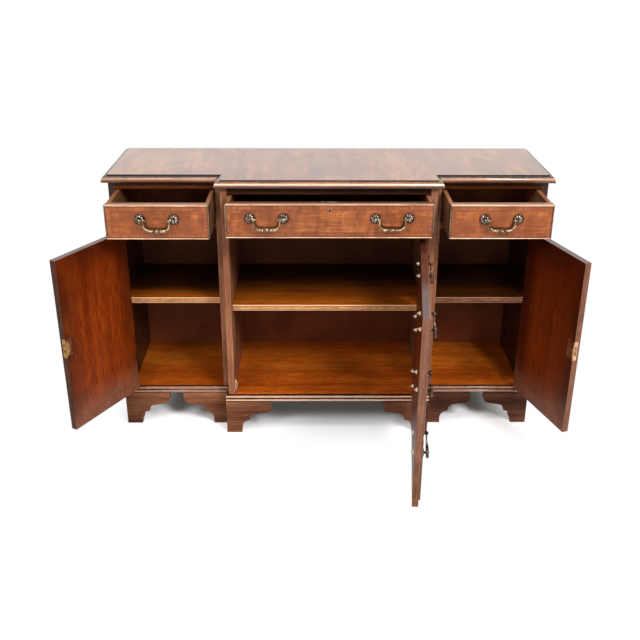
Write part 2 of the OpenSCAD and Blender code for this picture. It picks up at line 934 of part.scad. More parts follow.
module drawer_cockbead(w) {
    color(front_wood) translate([0, 0, front_z]) bead_frame(w, front_h);
}

// The box behind the front: two sides, a back and a bottom.
module drawer_box(w, depth) {
    out = w / 2 - box_inset;
    in = out - drawer_side_t;
    y0 = drawer_front_t;
    y1 = depth - back_t - back_clear;
    z0 = runner_z + run_gap;
    z1 = front_z + front_h - side_drop;
    base = z0 + bottom_rise;
    color(drawer_wood) {
        both_sides() block([in, y0, z0], [out, y1, z1]);
        block([-in, y0, base], [in, y1, base + drawer_bottom_t]);
        block([-in, y1 - drawer_side_t, base + drawer_bottom_t], [in, y1, z1 - back_drop]);
    }
}

module drawer_posts(handles) {
    color(brass) for (x = handles) translate([x, 0, post_z]) handle_posts(drawer_front_t);
}

module drawer_bail(x) {
    color(brass) translate([x, 0, post_z]) bail();
}

module left_drawer() {
    drawer_place(-side_mid, side_depth, left_drawer_open) children();
}

module right_drawer() {
    drawer_place(side_mid, side_depth, right_drawer_open) children();
}

module centre_drawer() {
    drawer_place(0, centre_depth, centre_drawer_open) children();
}

wide_handles = [-handle_offset, handle_offset];

module left_drawer_front() {
    left_drawer() drawer_front(side_front_w, [0]);
}

module left_drawer_cockbead() {
    left_drawer() drawer_cockbead(side_front_w);
}

module left_drawer_box() {
    left_drawer() drawer_box(side_front_w, side_depth);
}

module left_drawer_posts() {
    left_drawer() drawer_posts([0]);
}

module left_drawer_bail() {
    left_drawer() drawer_bail(0);
}

module right_drawer_front() {
    right_drawer() drawer_front(side_front_w, [0]);
}

module right_drawer_cockbead() {
    right_drawer() drawer_cockbead(side_front_w);
}

module right_drawer_box() {
    right_drawer() drawer_box(side_front_w, side_depth);
}

module right_drawer_posts() {
    right_drawer() drawer_posts([0]);
}

module right_drawer_bail() {
    right_drawer() drawer_bail(0);
}

// A keyhole along +Y: a round eye over a slot, grown by some wall.
module keyhole(grow, y0, y1) {
    rod_y(key_r + grow, y0, y1);
    block([-key_w / 2 - grow, y0, -key_l - grow], [key_w / 2 + grow, y1, 0]);
}

module keyhole_liner() {
    difference() {
        keyhole(liner_t, 0, liner_l);
        keyhole(0, -cut, liner_l + cut);
    }
}

drawer_key_z = front_z + front_h - drawer_lock_h / 2;
drawer_lock_y0 = drawer_front_t - drawer_lock_in;

module centre_drawer_front() {
    centre_drawer() difference() {
        drawer_front(centre_front_w, wide_handles);
        translate([0, 0, drawer_key_z]) {
            keyhole(0, -cut, drawer_front_t);
            keyhole(liner_t, -cut, liner_l);
        }
        block([-drawer_lock_w / 2, drawer_lock_y0, front_z + front_h - drawer_lock_h],
            [drawer_lock_w / 2, drawer_front_t + cut, front_z + front_h + cut]);
    }
}

module centre_drawer_cockbead() {
    centre_drawer() drawer_cockbead(centre_front_w);
}

module centre_drawer_box() {
    centre_drawer() drawer_box(centre_front_w, centre_depth);
}

module centre_drawer_posts() {
    centre_drawer() drawer_posts(wide_handles);
}

module centre_drawer_left_bail() {
    centre_drawer() drawer_bail(-handle_offset);
}

module centre_drawer_right_bail() {
    centre_drawer() drawer_bail(handle_offset);
}

// A lock case w wide and h high with its top at the origin, and the channel for its bolt.
module lock_case(w, h) {
    difference() {
        block([-w / 2, 0, -h], [w / 2, lock_t, 0]);
        block([-bolt_h / 2 - bolt_fit, (lock_t - bolt_t) / 2 - bolt_fit, -bolt_w - 2 * bolt_fit],
            [bolt_h / 2 + bolt_fit, (lock_t + bolt_t) / 2 + bolt_fit, cut]);
    }
}

module lock_bolt() {
    block([-bolt_h / 2, (lock_t - bolt_t) / 2, -bolt_w - bolt_fit],
        [bolt_h / 2, (lock_t + bolt_t) / 2, -bolt_fit]);
}

module centre_drawer_lock() {
    color(brass) centre_drawer() {
        translate([0, drawer_lock_y0, front_z + front_h]) lock_case(drawer_lock_w, drawer_lock_h);
        translate([0, 0, drawer_key_z]) keyhole_liner();
    }
}

module centre_drawer_bolt() {
    color(brass) centre_drawer() translate([0, drawer_lock_y0, front_z + front_h]) lock_bolt();
}

// Doors, drawn closed on the right and swung about their pins

door_edge_x = side_in_lo + front_gap;
door_mid_z = door_z + door_h / 2;
door_lock_y = -side_depth + door_t - lock_t;

// Places a lock in the free edge of a side door, its bolt pointing out of the edge.
module at_door_lock() {
    translate([door_edge_x, door_lock_y, door_mid_z]) rotate([0, -90, 0]) children();
}

module side_door_panel() {
    color(front_wood) difference() {
        block([door_edge_x, -side_depth, door_z],
            [side_in_hi - front_gap, -side_depth + door_t, door_z + door_h]);
        door_hinge_cuts(side_pin);
        at_door_lock() block([-lock_h / 2, 0, -lock_w], [lock_h / 2, lock_t + cut, cut]);
        translate([door_edge_x + key_from_edge, -side_depth, door_mid_z]) {
            keyhole(0, -cut, door_t - lock_t + cut);
            keyhole(liner_t, -cut, liner_l);
        }
    }
}

module side_door_lock() {
    color(brass) {
        at_door_lock() lock_case(lock_h, lock_w);
        translate([door_edge_x + key_from_edge, -side_depth, door_mid_z]) keyhole_liner();
    }
}

module side_door_bolt() {
    color(brass) at_door_lock() lock_bolt();
}

module left_door() {
    on_side(-1) swing(side_pin, left_door_open) children();
}

module right_door() {
    swing(side_pin, right_door_open) children();
}

module centre_door() {
    swing(centre_pin, centre_door_open) children();
}

module left_door_panel() {
    left_door() side_door_panel();
}

module left_door_lock() {
    left_door() side_door_lock();
}

module left_door_bolt() {
    left_door() side_door_bolt();
}

module left_door_hinges() {
    color(brass) left_door() at_hinges(side_pin) door_hinge();
}

module right_door_panel() {
    right_door() side_door_panel();
}

module right_door_lock() {
    right_door() side_door_lock();
}

module right_door_bolt() {
    right_door() side_door_bolt();
}

module right_door_hinges() {
    color(brass) right_door() at_hinges(side_pin) door_hinge();
}

// Runs its children at each false front's lower edge, with its number in $row.
module at_false_fronts() {
    for ($row = [0:2]) translate([0, -centre_depth, false_bases[$row]]) children();
}

// Height of the posts above a false front's lower edge.
function row_post_z(row) = post_share * false_heights[row];

centre_board = false_t + centre_door_t;

module centre_door_panel() {
    w = centre_front_w;
    y0 = -centre_depth + false_t;
    color(front_wood) centre_door() difference() {
        block([-w / 2, y0, door_z], [w / 2, y0 + centre_door_t, door_z + door_h]);
        door_hinge_cuts(centre_pin);
        at_false_fronts() {
            bead_groove(false_front_w, false_heights[$row]);
            for (x = wide_handles) translate([x, 0, row_post_z($row)]) post_holes(centre_board);
        }
    }
}

// The groove behind a planted front that takes the back of its cockbead.
module bead_groove(w, h) {
    difference() {
        block([-w / 2, 0, 0], [w / 2, bead_in, h]);
        block([-w / 2 + bead_t, -cut, bead_t], [w / 2 - bead_t, bead_in + cut, h - bead_t]);
    }
}

module false_fronts() {
    color(front_wood) centre_door() at_false_fronts() difference() {
        block([-false_front_w / 2 + bead_t, 0, bead_t],
            [false_front_w / 2 - bead_t, false_t, false_heights[$row] - bead_t]);
        for (x = wide_handles) translate([x, 0, row_post_z($row)]) post_holes(centre_board);
    }
}

module false_cockbeads() {
    color(front_wood) centre_door() at_false_fronts() bead_frame(false_front_w, false_heights[$row]);
}

module centre_door_posts() {
    color(brass) centre_door() at_false_fronts()
        for (x = wide_handles) translate([x, 0, row_post_z($row)]) handle_posts(centre_board);
}

module centre_door_hinges() {
    color(brass) centre_door() at_hinges(centre_pin) door_hinge();
}

// One bail of the centre door, on the left or right of a false front.
module door_bail(row, side) {
    color(brass) centre_door()
        translate([side * handle_offset, -centre_depth, false_bases[row] + row_post_z(row)]) bail();
}

module top_left_bail() {
    door_bail(2, -1);
}

module top_right_bail() {
    door_bail(2, 1);
}

module middle_left_bail() {
    door_bail(1, -1);
}

module middle_right_bail() {
    door_bail(1, 1);
}

module bottom_left_bail() {
    door_bail(0, -1);
}

module bottom_right_bail() {
    door_bail(0, 1);
}

top_board();
top_moulding();
left_side_panel();
right_side_panel();
left_partition();
right_partition();
bay_stiles();
top_rails();
divider_frames();
drawer_guides();
bottom_boards();
back_boards();
left_shelf();
centre_shelf();
right_shelf();
shelf_pegs();
plinth_moulding();
bracket_feet();
back_foot_board();
glue_blocks();
carcass_hinges();
door_catch();
left_drawer_front();
left_drawer_cockbead();
left_drawer_box();
left_drawer_posts();
left_drawer_bail();
centre_drawer_front();
centre_drawer_cockbead();
centre_drawer_box();
centre_drawer_posts();
centre_drawer_left_bail();
centre_drawer_right_bail();
centre_drawer_lock();
centre_drawer_bolt();
right_drawer_front();
right_drawer_cockbead();
right_drawer_box();
right_drawer_posts();
right_drawer_bail();
left_door_panel();
left_door_lock();
left_door_bolt();
left_door_hinges();
right_door_panel();
right_door_lock();
right_door_bolt();
right_door_hinges();
centre_door_panel();
false_fronts();
false_cockbeads();
centre_door_posts();
centre_door_hinges();
top_left_bail();
top_right_bail();
middle_left_bail();
middle_right_bail();
bottom_left_bail();
bottom_right_bail();
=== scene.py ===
# A breakfront sideboard, finished as the real one is: polished mahogany, aged brass handles,
# doors and drawers partly open, on a plain white studio floor.

# %% [markdown]
# The cabinet's carpentry is already done: every board, hinge and handle is loaded here as a
# piece of its own, at its real size and in metres. This lesson gives each piece its finish, and
# carves the few pieces whose real shape is too fine for carpentry. The box round the whole
# cabinet is noted first, because nothing that is added may reach outside it.

# %% Load the cabinet
import json
import math

import bmesh
import bpy
from mathutils import Matrix, Vector

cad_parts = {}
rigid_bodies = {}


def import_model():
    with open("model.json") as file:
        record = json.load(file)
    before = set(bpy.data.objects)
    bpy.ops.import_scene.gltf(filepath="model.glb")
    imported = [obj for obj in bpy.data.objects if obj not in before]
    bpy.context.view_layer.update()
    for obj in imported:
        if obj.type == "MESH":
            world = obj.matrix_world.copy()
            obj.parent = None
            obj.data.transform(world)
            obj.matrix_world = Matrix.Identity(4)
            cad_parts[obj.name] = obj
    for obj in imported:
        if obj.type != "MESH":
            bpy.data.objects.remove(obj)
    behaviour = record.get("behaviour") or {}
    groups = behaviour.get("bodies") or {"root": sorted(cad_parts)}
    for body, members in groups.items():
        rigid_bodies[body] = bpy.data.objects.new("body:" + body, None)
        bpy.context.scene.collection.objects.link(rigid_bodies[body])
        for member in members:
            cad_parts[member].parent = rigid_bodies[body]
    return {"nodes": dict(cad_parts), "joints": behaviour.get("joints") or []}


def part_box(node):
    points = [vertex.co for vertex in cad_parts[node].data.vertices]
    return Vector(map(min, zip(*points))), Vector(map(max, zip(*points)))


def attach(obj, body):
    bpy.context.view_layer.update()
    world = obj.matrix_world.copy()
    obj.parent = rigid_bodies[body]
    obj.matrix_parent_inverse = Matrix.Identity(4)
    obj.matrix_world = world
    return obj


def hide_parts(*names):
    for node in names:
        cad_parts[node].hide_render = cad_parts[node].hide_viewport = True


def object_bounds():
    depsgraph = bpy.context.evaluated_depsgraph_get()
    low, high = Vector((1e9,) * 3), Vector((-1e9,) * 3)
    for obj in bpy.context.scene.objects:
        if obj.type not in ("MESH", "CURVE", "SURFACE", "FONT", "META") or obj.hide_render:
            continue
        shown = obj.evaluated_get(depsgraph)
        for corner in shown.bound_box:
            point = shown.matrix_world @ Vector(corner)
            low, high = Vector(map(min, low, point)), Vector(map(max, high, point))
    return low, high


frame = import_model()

nodes = frame["nodes"]
cad_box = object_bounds()
MM = 0.001
cabinet_width = (cad_box[1].x - cad_box[0].x) / MM
print(f"loaded {len(nodes)} pieces; the cabinet is {cabinet_width:.0f} mm wide")

# %% [markdown]
# This camera matches the photograph. Its focal length is worked out in pixels of the square
# picture, and its turn is given as three small angles: down, to the right, and a slight tilt of
# the tripod. The three directions of the camera are built one from the other, so that they stay
# square to each other.

# %% The photograph's camera
PICTURE_PX = 640
FOCAL_PX = 859.6
SENSOR_MM = 36.0
EYE = Vector((-0.0533, -2.8824, 1.5472))
LOOK_DOWN, LOOK_RIGHT, TILT = (math.radians(a) for a in (24.63, 0.64, 0.24))


def make_camera():
    """The camera, at the photographer's eye."""
    ahead = Vector((
        math.sin(LOOK_RIGHT) * math.cos(LOOK_DOWN),
        math.cos(LOOK_RIGHT) * math.cos(LOOK_DOWN),
        -math.sin(LOOK_DOWN),
    ))
    level = ahead.cross(Vector((0, 0, 1))).normalized()
    upright = level.cross(ahead)
    right = math.cos(TILT) * level + math.sin(TILT) * upright
    up = math.cos(TILT) * upright - math.sin(TILT) * level
    camera = bpy.data.objects.new("camera", bpy.data.cameras.new("camera"))
    bpy.context.scene.collection.objects.link(camera)
    camera.data.sensor_width = SENSOR_MM
    camera.data.lens = FOCAL_PX / PICTURE_PX * SENSOR_MM
    turn = Matrix((right, up, -ahead)).transposed().to_4x4()
    camera.matrix_world = Matrix.Translation(EYE) @ turn
    bpy.context.scene.camera = camera
    return camera


camera = make_camera()
print(f"camera: {camera.data.lens:.1f} mm lens, {-EYE.y:.2f} m in front of the cabinet's back")

# %% [markdown]
# A finish is a small network of nodes. Drawn by hand such networks are hard to read, so the sums
# in them are written as Python sums. A Socket stands for one number, colour or direction that
# changes over the surface, and adding or multiplying two of them lays the node that does it.
# A Finish is one material while its nodes are being laid.

# %% Sockets that can be added and multiplied
class Socket:
    """An output of a node. Sums and comparisons on it add Math nodes."""

    def __init__(self, finish, output):
        self.finish = finish
        self.output = output

    def __add__(self, other):
        return self.finish.math("ADD", self, other)

    def __sub__(self, other):
        return self.finish.math("SUBTRACT", self, other)

    def __rsub__(self, other):
        return self.finish.math("SUBTRACT", other, self)

    def __mul__(self, other):
        return self.finish.math("MULTIPLY", self, other)

    def __truediv__(self, other):
        return self.finish.math("DIVIDE", self, other)

    def __pow__(self, other):
        return self.finish.math("POWER", self, other)

    def __gt__(self, other):
        return self.finish.math("GREATER_THAN", self, other)

    def __lt__(self, other):
        return self.finish.math("LESS_THAN", self, other)

    def __abs__(self):
        return self.finish.math("ABSOLUTE", self)

    __radd__ = __add__
    __rmul__ = __mul__


print("sockets take +, -, *, /, **, > and <, from either side")

# %% [markdown]
# Colours are noted as they look on a screen, from 0 to 255, because that is how a picture is
# read. A renderer counts light instead, so each number is bent through the screen's curve first.

# %% Colours
def tone(red, green, blue):
    """A screen colour as the renderer's own."""
    def light(value):
        share = value / 255
        return share / 12.92 if share <= 0.04045 else ((share + 0.055) / 1.055) ** 2.4
    return (light(red), light(green), light(blue), 1.0)


print("mid grey holds", round(tone(128, 128, 128)[0], 3), "of white's light")

# %% [markdown]
# Wood grain belongs to a board, not to the room, so a door's grain has to swing with the door.
# Each moving body is shut in the sums: the point on its surface is carried back along the
# body's joint to where it would be with the cabinet closed. There every board lies square to the
# axes, and its grain, its banding and its edges are easy to say.

# %% Where each body is when it is shut
def shut_pose(body):
    """The turn and the shift that shut a body, as (Euler angles, translation)."""
    for joint in frame["joints"]:
        if joint["child"] != body or body.endswith(("bail", "bolt")):
            continue
        axis = Vector(joint["axis"])
        if joint["type"] == "slide":
            return (0, 0, 0), axis * joint["range_m"][0]
        pin = Vector(joint["pos_m"])
        turn = Matrix.Rotation(math.radians(joint["range_deg"][0]), 3, axis)
        return tuple(turn.to_euler()), pin - turn @ pin
    return (0, 0, 0), Vector((0, 0, 0))


def shut_box(node, body):
    """The lowest and the highest corner of a piece with its body shut."""
    angles, shift = shut_pose(body)
    turn = Matrix.Identity(3)
    turn.rotate(Matrix.Rotation(angles[2], 3, "Z"))
    points = [turn @ v.co + shift for v in nodes[node].data.vertices]
    low = Vector(min(p[i] for p in points) for i in range(3))
    high = Vector(max(p[i] for p in points) for i in range(3))
    return low, high


for body in ("left_drawer", "left_door", "centre_door"):
    print(body, "is shut by a turn of", round(math.degrees(shut_pose(body)[0][2]), 1), "degrees")

# %% [markdown]
# The Finish class lays any node from its type, its settings and what feeds its sockets. On top of
# that it knows the few sums that every wood needs: where a point is on the shut cabinet, a noise
# stretched along the grain, and how close a point is to a softened edge. The edge is found from
# the surface's own direction, because only a rounded edge looks to no side squarely.

# %% Finishes
MIX_FACTOR, MIX_A, MIX_B, MIX_RESULT = 0, 6, 7, 2


class Finish:
    """A material while its nodes are being laid."""

    def __init__(self, name, body="carcass"):
        self.material = bpy.data.materials.new(name)
        self.material.use_nodes = True
        self.tree = self.material.node_tree
        self.shader = self.tree.nodes["Principled BSDF"]
        self.angles, self.shift = shut_pose(body)

    def feed(self, target, value):
        """Links a socket to another, or sets it to a plain value."""
        if isinstance(value, Socket):
            self.tree.links.new(value.output, target)
        else:
            target.default_value = value

    def node(self, kind, settings=None, sockets=None, output=0):
        """Adds a node: its settings first, then its sockets. Gives one of its outputs."""
        made = self.tree.nodes.new(kind)
        for name, value in (settings or {}).items():
            if name == "stops":
                self.set_stops(made.color_ramp, value)
            else:
                setattr(made, name, value)
        for name, value in (sockets or {}).items():
            self.feed(made.inputs[name], value)
        return Socket(self, made.outputs[output])

    def set_stops(self, ramp, stops):
        """Gives a colour ramp its stops, as (place, colour) pairs."""
        while len(ramp.elements) < len(stops):
            ramp.elements.new(1.0)
        for element, (place, colour) in zip(ramp.elements, stops):
            element.position = place
            element.color = colour

    def math(self, operation, *terms):
        """One Math node."""
        return self.node("ShaderNodeMath", {"operation": operation}, dict(enumerate(terms)))

    def vector(self, operation, *terms):
        """One Vector Math node."""
        return self.node("ShaderNodeVectorMath", {"operation": operation}, dict(enumerate(terms)))

    def mix(self, factor, first, second):
        """Mixes two colours."""
        return self.node(
            "ShaderNodeMix", {"data_type": "RGBA"},
            {MIX_FACTOR: factor, MIX_A: first, MIX_B: second}, MIX_RESULT,
        )

    def ramp(self, value, *stops):
        """A colour ramp over a value."""
        return self.node("ShaderNodeValToRGB", {"stops": stops}, {0: value})

    def smooth(self, value, low, high):
        """0 below low and 1 above high, with a soft step between."""
        return self.node(
            "ShaderNodeMapRange", {"interpolation_type": "SMOOTHSTEP"},
            {"Value": value, "From Min": low, "From Max": high},
        )

    def least(self, first, second):
        return self.math("MINIMUM", first, second)

    def most(self, first, second):
        return self.math("MAXIMUM", first, second)

    def place(self):
        """The point on the surface, with the cabinet shut."""
        point = self.node("ShaderNodeTexCoord", output="Object")
        return self.node(
            "ShaderNodeMapping",
            sockets={"Vector": point, "Location": self.shift, "Rotation": self.angles},
        )

    def split(self, vector):
        """The three parts of a vector."""
        made = self.tree.nodes.new("ShaderNodeSeparateXYZ")
        self.feed(made.inputs[0], vector)
        return [Socket(self, output) for output in made.outputs]

    def noise(self, vector, scale, detail=2.0, roughness=0.5, distortion=0.0, output=0):
        """Noise from 0 to 1. scale may be three numbers, one for each direction."""
        if not isinstance(scale, (int, float)):
            vector, scale = self.vector("MULTIPLY", vector, tuple(scale)), 1.0
        return self.node(
            "ShaderNodeTexNoise",
            sockets={
                "Vector": vector, "Scale": scale, "Detail": detail, "Roughness": roughness,
                "Distortion": distortion,
            },
            output=output,
        )

    def shut_normal(self):
        """The surface's direction, with the cabinet shut."""
        normal = self.node("ShaderNodeTexCoord", output="Normal")
        return self.node("ShaderNodeMapping", sockets={"Vector": normal, "Rotation": self.angles})

    def edge(self):
        """1 on a rounded edge and 0 on the flat."""
        x, y, z = self.split(self.vector("ABSOLUTE", self.shut_normal()))
        return self.smooth(self.most(self.most(x, y), z), 0.995, 0.85)

    def finish(self, colour, roughness, bumps=None, depth=0.0002, **constants):
        """Feeds the shader: its colour, its roughness, a bump from a height, and plain values."""
        self.feed(self.shader.inputs["Base Color"], colour)
        self.feed(self.shader.inputs["Roughness"], roughness)
        if bumps is not None:
            bump = self.node("ShaderNodeBump", sockets={"Distance": depth, "Height": bumps})
            self.feed(self.shader.inputs["Normal"], bump)
        for name, value in constants.items():
            self.feed(self.shader.inputs[name.replace("_", " ")], value)
        return self.material


print("finishes are laid with", len([n for n in dir(Finish) if not n.startswith("_")]), "methods")

# %% [markdown]
# The cabinet stands in a photographer's white studio. The floor is a plain white sheet. Where the
# camera or a polished board sees it, it glows a little, so that it burns out to white and still
# shows the soft shadow. Behind the cabinet the room is white too, and that white lies on the
# polished top as a pale sheen. The room behind the camera is dimmer, so the fronts stay rich.

# %% Studio room
FLOOR_SIZE = 40.0
FLOOR_BOOST = 1.62
WHITE_FROM, WHITE_TO = -0.13, 0.12
ROOM_LIGHT = 0.1
ROOM_IN_FRONT = 0.15
SHEET = (238, 236, 234)


def ray_kinds(network, *names):
    """1 for rays of any of these kinds, else 0."""
    path = network.tree.nodes.new("ShaderNodeLightPath")
    kinds = [Socket(network, path.outputs[name]) for name in names]
    total = kinds[0]
    for kind in kinds[1:]:
        total = network.most(total, kind)
    return total


def make_floor():
    """The white floor, a single large sheet."""
    mesh = bpy.data.meshes.new("studio floor")
    half = FLOOR_SIZE / 2
    corners = [(x, y, 0) for x, y in ((-half, -half), (half, -half), (half, half), (-half, half))]
    mesh.from_pydata(corners, [], [(0, 1, 2, 3)])
    floor = bpy.data.objects.new("studio_floor", mesh)
    bpy.context.scene.collection.objects.link(floor)
    sheet = Finish("floor sheet")
    sheet.finish(tone(*SHEET), 0.9, Specular_IOR_Level=0.0)
    plain = Socket(sheet, sheet.shader.outputs[0])
    bright = sheet.node("ShaderNodeBsdfDiffuse", sockets={"Color": (FLOOR_BOOST,) * 3 + (1,)})
    white = sheet.node("ShaderNodeEmission")
    low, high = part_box("bottom_boards")
    x, y, _ = sheet.split(sheet.place())
    middle, half = (low.y + high.y) / 2, (high.y - low.y) / 2
    away = sheet.most(abs(x) - high.x, abs(y - middle) - half)
    far = sheet.smooth(away, WHITE_FROM, WHITE_TO)
    shining = sheet.node("ShaderNodeMixShader", sockets={0: far, 1: bright, 2: white})
    seen = ray_kinds(sheet, "Is Camera Ray", "Is Glossy Ray", "Is Transmission Ray")
    shown = sheet.node("ShaderNodeMixShader", sockets={0: seen, 1: plain, 2: shining})
    sheet.feed(sheet.tree.nodes["Material Output"].inputs["Surface"], shown)
    mesh.materials.append(sheet.material)


class Room(Finish):
    """The world's network, laid like a finish."""

    def __init__(self):
        world = bpy.data.worlds.new("studio room")
        world.use_nodes = True
        bpy.context.scene.world = world
        self.tree = world.node_tree
        self.angles, self.shift = (0, 0, 0), Vector((0, 0, 0))


def light_room():
    """The room: white to the camera, white behind the cabinet in the polish, dim as a lamp."""
    room = Room()
    direction = room.node("ShaderNodeTexCoord", output="Generated")
    backward = room.smooth(room.split(direction)[1], -0.35, 0.35)
    mirrored = ray_kinds(room, "Is Glossy Ray", "Is Transmission Ray")
    in_polish = backward * (1 - ROOM_IN_FRONT) + ROOM_IN_FRONT
    level = mirrored * in_polish + (1 - mirrored) * ROOM_LIGHT
    strength = room.most(level, ray_kinds(room, "Is Camera Ray"))
    background = room.tree.nodes["Background"]
    background.inputs["Color"].default_value = (1, 1, 1, 1)
    room.feed(background.inputs["Strength"], strength)


def hang_softbox(name, place, target, size, power):
    """A square studio lamp that looks at a point."""
    lamp = bpy.data.objects.new(name, bpy.data.lights.new(name, "AREA"))
    bpy.context.scene.collection.objects.link(lamp)
    lamp.data.shape = "RECTANGLE"
    lamp.data.size, lamp.data.size_y = size
    lamp.data.energy = power
    place, target = Vector(place), Vector(target)
    turn = (target - place).to_track_quat("-Z", "Y").to_matrix().to_4x4()
    lamp.matrix_world = Matrix.Translation(place) @ turn


MIDDLE = (0, -0.35, 0.4)
make_floor()
light_room()
hang_softbox("left softbox", (-1.8, -3.2, 3.2), MIDDLE, (1.2, 1.2), 46)
hang_softbox("right softbox", (1.8, -3.2, 3.2), MIDDLE, (1.2, 1.2), 118)
hang_softbox("overhead softbox", (0, -1.6, 3.4), MIDDLE, (2.6, 0.9), 32)
hang_softbox("low fill", (0, -3.6, 0.7), MIDDLE, (2.4, 0.5), 14)
bpy.context.scene.view_settings.view_transform = "Standard"
print("studio: a floor, a room, three softboxes and a low fill")

# %% [markdown]
# All the wood is mahogany, so one recipe draws every board. A board's colour follows three sizes
# of pattern: broad waves of growth, the ribbon stripes that a quarter-sawn board shows, and the
# fine fibres. Each is a noise drawn out along the grain. Short dark pores lie over them. The
# parts are mixed in sums, so each board can have its own share of each.

# %% Grain
def drawn_out(grain, across, length):
    """Scales for a noise that is drawn out along the grain: x, y or z, or two of them."""
    return tuple(length if letter in grain else across for letter in "xyz")


class Wood(Finish):
    """A wooden finish."""

    def __init__(self, name, body="carcass"):
        super().__init__(name, body)
        self.point = self.place()
        drift = self.vector("SUBTRACT", self.noise(self.point, 5.0, 1.0, output=1), (0.5, 0.5, 0.5))
        drift = self.vector("MULTIPLY", drift, (0.012, 0.012, 0.012))
        self.wavy = self.vector("ADD", self.point, drift)

    def figure(self, grain, growth=0.45, ribbon=0.2, fibre=0.35, broad=16, stripe=55, fine=420):
        """The board's pattern from 0, dark, to 1, light."""
        waves = self.noise(self.wavy, drawn_out(grain, broad, broad / 9), 2.0)
        stripes = self.noise(self.wavy, drawn_out(grain, stripe, stripe / 40), 1.0)
        fibres = self.noise(self.wavy, drawn_out(grain, fine, fine / 24), 2.0, 0.6)
        total = waves * growth + stripes * ribbon + fibres * fibre
        return self.smooth(total, 0.3, 0.7)

    def pores(self, grain):
        """Short dark pores: 1 in a pore."""
        flecks = self.noise(self.point, drawn_out(grain, 1100, 60), 1.0)
        return self.smooth(flecks, 0.58, 0.75)

    def tones(self, figure, dark, middle, light):
        """The figure in three tones."""
        return self.ramp(figure, (0.0, tone(*dark)), (0.5, tone(*middle)), (1.0, tone(*light)))

    def border(self, low, high, axes):
        """How far, in metres, a point is from the nearest border of a panel, along some axes."""
        parts = self.split(self.point)
        nearest = None
        for letter in axes:
            i = "xyz".index(letter)
            middle, half = (low[i] + high[i]) / 2, (high[i] - low[i]) / 2
            room = half - abs(parts[i] - middle)
            nearest = room if nearest is None else self.least(nearest, room)
        return nearest

    def facing(self, letter):
        """The part of the surface's direction along an axis, with the cabinet shut."""
        return self.split(self.shut_normal())["xyz".index(letter)]

    def patina(self, colour, grain, dark, light, wear, stain=0.3, pore_depth=0.5):
        """Pores, blotches of old polish and worn edges. Gives (colour, pores, blotches)."""
        pores = self.pores(grain)
        soot = tone(*(part * 0.35 for part in dark))
        colour = self.mix(pores * pore_depth, colour, soot)
        blotches = self.noise(self.point, 6.0, 3.0)
        shade = tone(*(part * 0.6 for part in dark))
        colour = self.mix(self.smooth(blotches, 0.45, 0.75) * stain, colour, shade)
        wear_and_highlight = self.smooth(self.noise(self.point, 55.0, 3.0), 0.36, 0.6)
        pale = tone(*(min(255, part * 1.15 + 28) for part in light))
        colour = self.mix(self.edge() * wear_and_highlight * wear, colour, pale)
        return colour, pores, blotches

    def polish(self, colour, figure, pores, blotches, gloss, **constants):
        """The usual polish: rough where it is dull, with pores and ripples as bumps."""
        rough = blotches * 0.2 + (gloss - 0.1) + pores * 0.12
        bumps = figure * 0.25 - pores + blotches * 0.5
        return self.finish(colour, rough, bumps, 0.00012, **constants)


def plain_wood(name, grain, tones, gloss, shine, wear=0.5, stain=0.3, **pattern):
    """A board: three tones along its figure, with its patina."""
    wood = Wood(name)
    figure = wood.figure(grain, **pattern)
    colour = wood.tones(figure, *tones)
    colour, pores, blotches = wood.patina(colour, grain, tones[0], tones[2], wear, stain)
    return wood.polish(colour, figure, pores, blotches, gloss, Specular_IOR_Level=shine)


print("grain is drawn out along x, y or z")

# %% [markdown]
# A finish is put on a piece through its material slot. The carpentry's own corners are knife
# sharp, and no real cabinet has those: every edge is rounded by the plane and by years of hands,
# and the small round catches a line of light. A Weld joins the loose corners of the loaded mesh,
# and a Bevel then rounds each sharp edge.

# %% Dressing a piece
def dress(names, material, rounding=0.8 * MM):
    """Gives pieces a material, and rounds their edges."""
    for name in names:
        piece = nodes[name]
        piece.data.materials.clear()
        piece.data.materials.append(material)
        if rounding:
            weld = piece.modifiers.new("joined corners", "WELD")
            weld.merge_threshold = 0.01 * MM
            bevel = piece.modifiers.new("rounded edges", "BEVEL")
            bevel.width = rounding
            bevel.segments = 2
            bevel.limit_method = "ANGLE"
            bevel.angle_limit = math.radians(35)
            bevel.harden_normals = True


print("pieces are dressed with a material and rounded edges")

# %% [markdown]
# Most boards need nothing more than the plain recipe with their own colours. The outside is
# french polished and glossy. The inside was only stained, so it is darker and duller, and the
# floors and shelves are painted golden brown where the light falls, as painted light. The rails
# are darker over the centre bay and the feet on the right, both as painted shade.

# %% Carcass boards
OUTSIDE = ((104, 52, 32), (138, 76, 50), (168, 98, 66))
STILES = ((126, 74, 52), (162, 106, 76), (198, 142, 106))
MOULDING = ((86, 43, 26), (126, 74, 44), (159, 101, 64))
FEET = ((74, 38, 24), (124, 76, 50), (172, 116, 82))
SHADED_FEET = ((50, 27, 19), (86, 50, 36), (122, 78, 58))
INSIDE = ((44, 19, 9), (66, 29, 13), (92, 44, 20))
DARK_INSIDE = ((36, 18, 11), (54, 28, 17), (80, 44, 28))
BACK = ((84, 46, 30), (112, 62, 40), (138, 80, 54))
LIT_FLOOR = ((168, 76, 14), (228, 110, 24), (255, 158, 52))
FLOOR = ((136, 56, 9), (190, 85, 16), (240, 126, 38))
SHELF = ((120, 55, 6), (167, 82, 12), (204, 111, 28))
SHADED_SHELF = ((58, 28, 6), (84, 42, 10), (112, 60, 18))
SHELF_BACK_SHADE = ((40, 20, 6), (60, 31, 8), (84, 44, 10))
SHADED_LIP = ((82, 42, 26), (120, 70, 46), (156, 104, 76))
LIP_HIGHLIGHT = (255, 204, 160)
LIP = ((150, 90, 50), (184, 118, 70), (216, 156, 102))
RAILS = ((70, 36, 17), (104, 57, 29), (140, 84, 48))
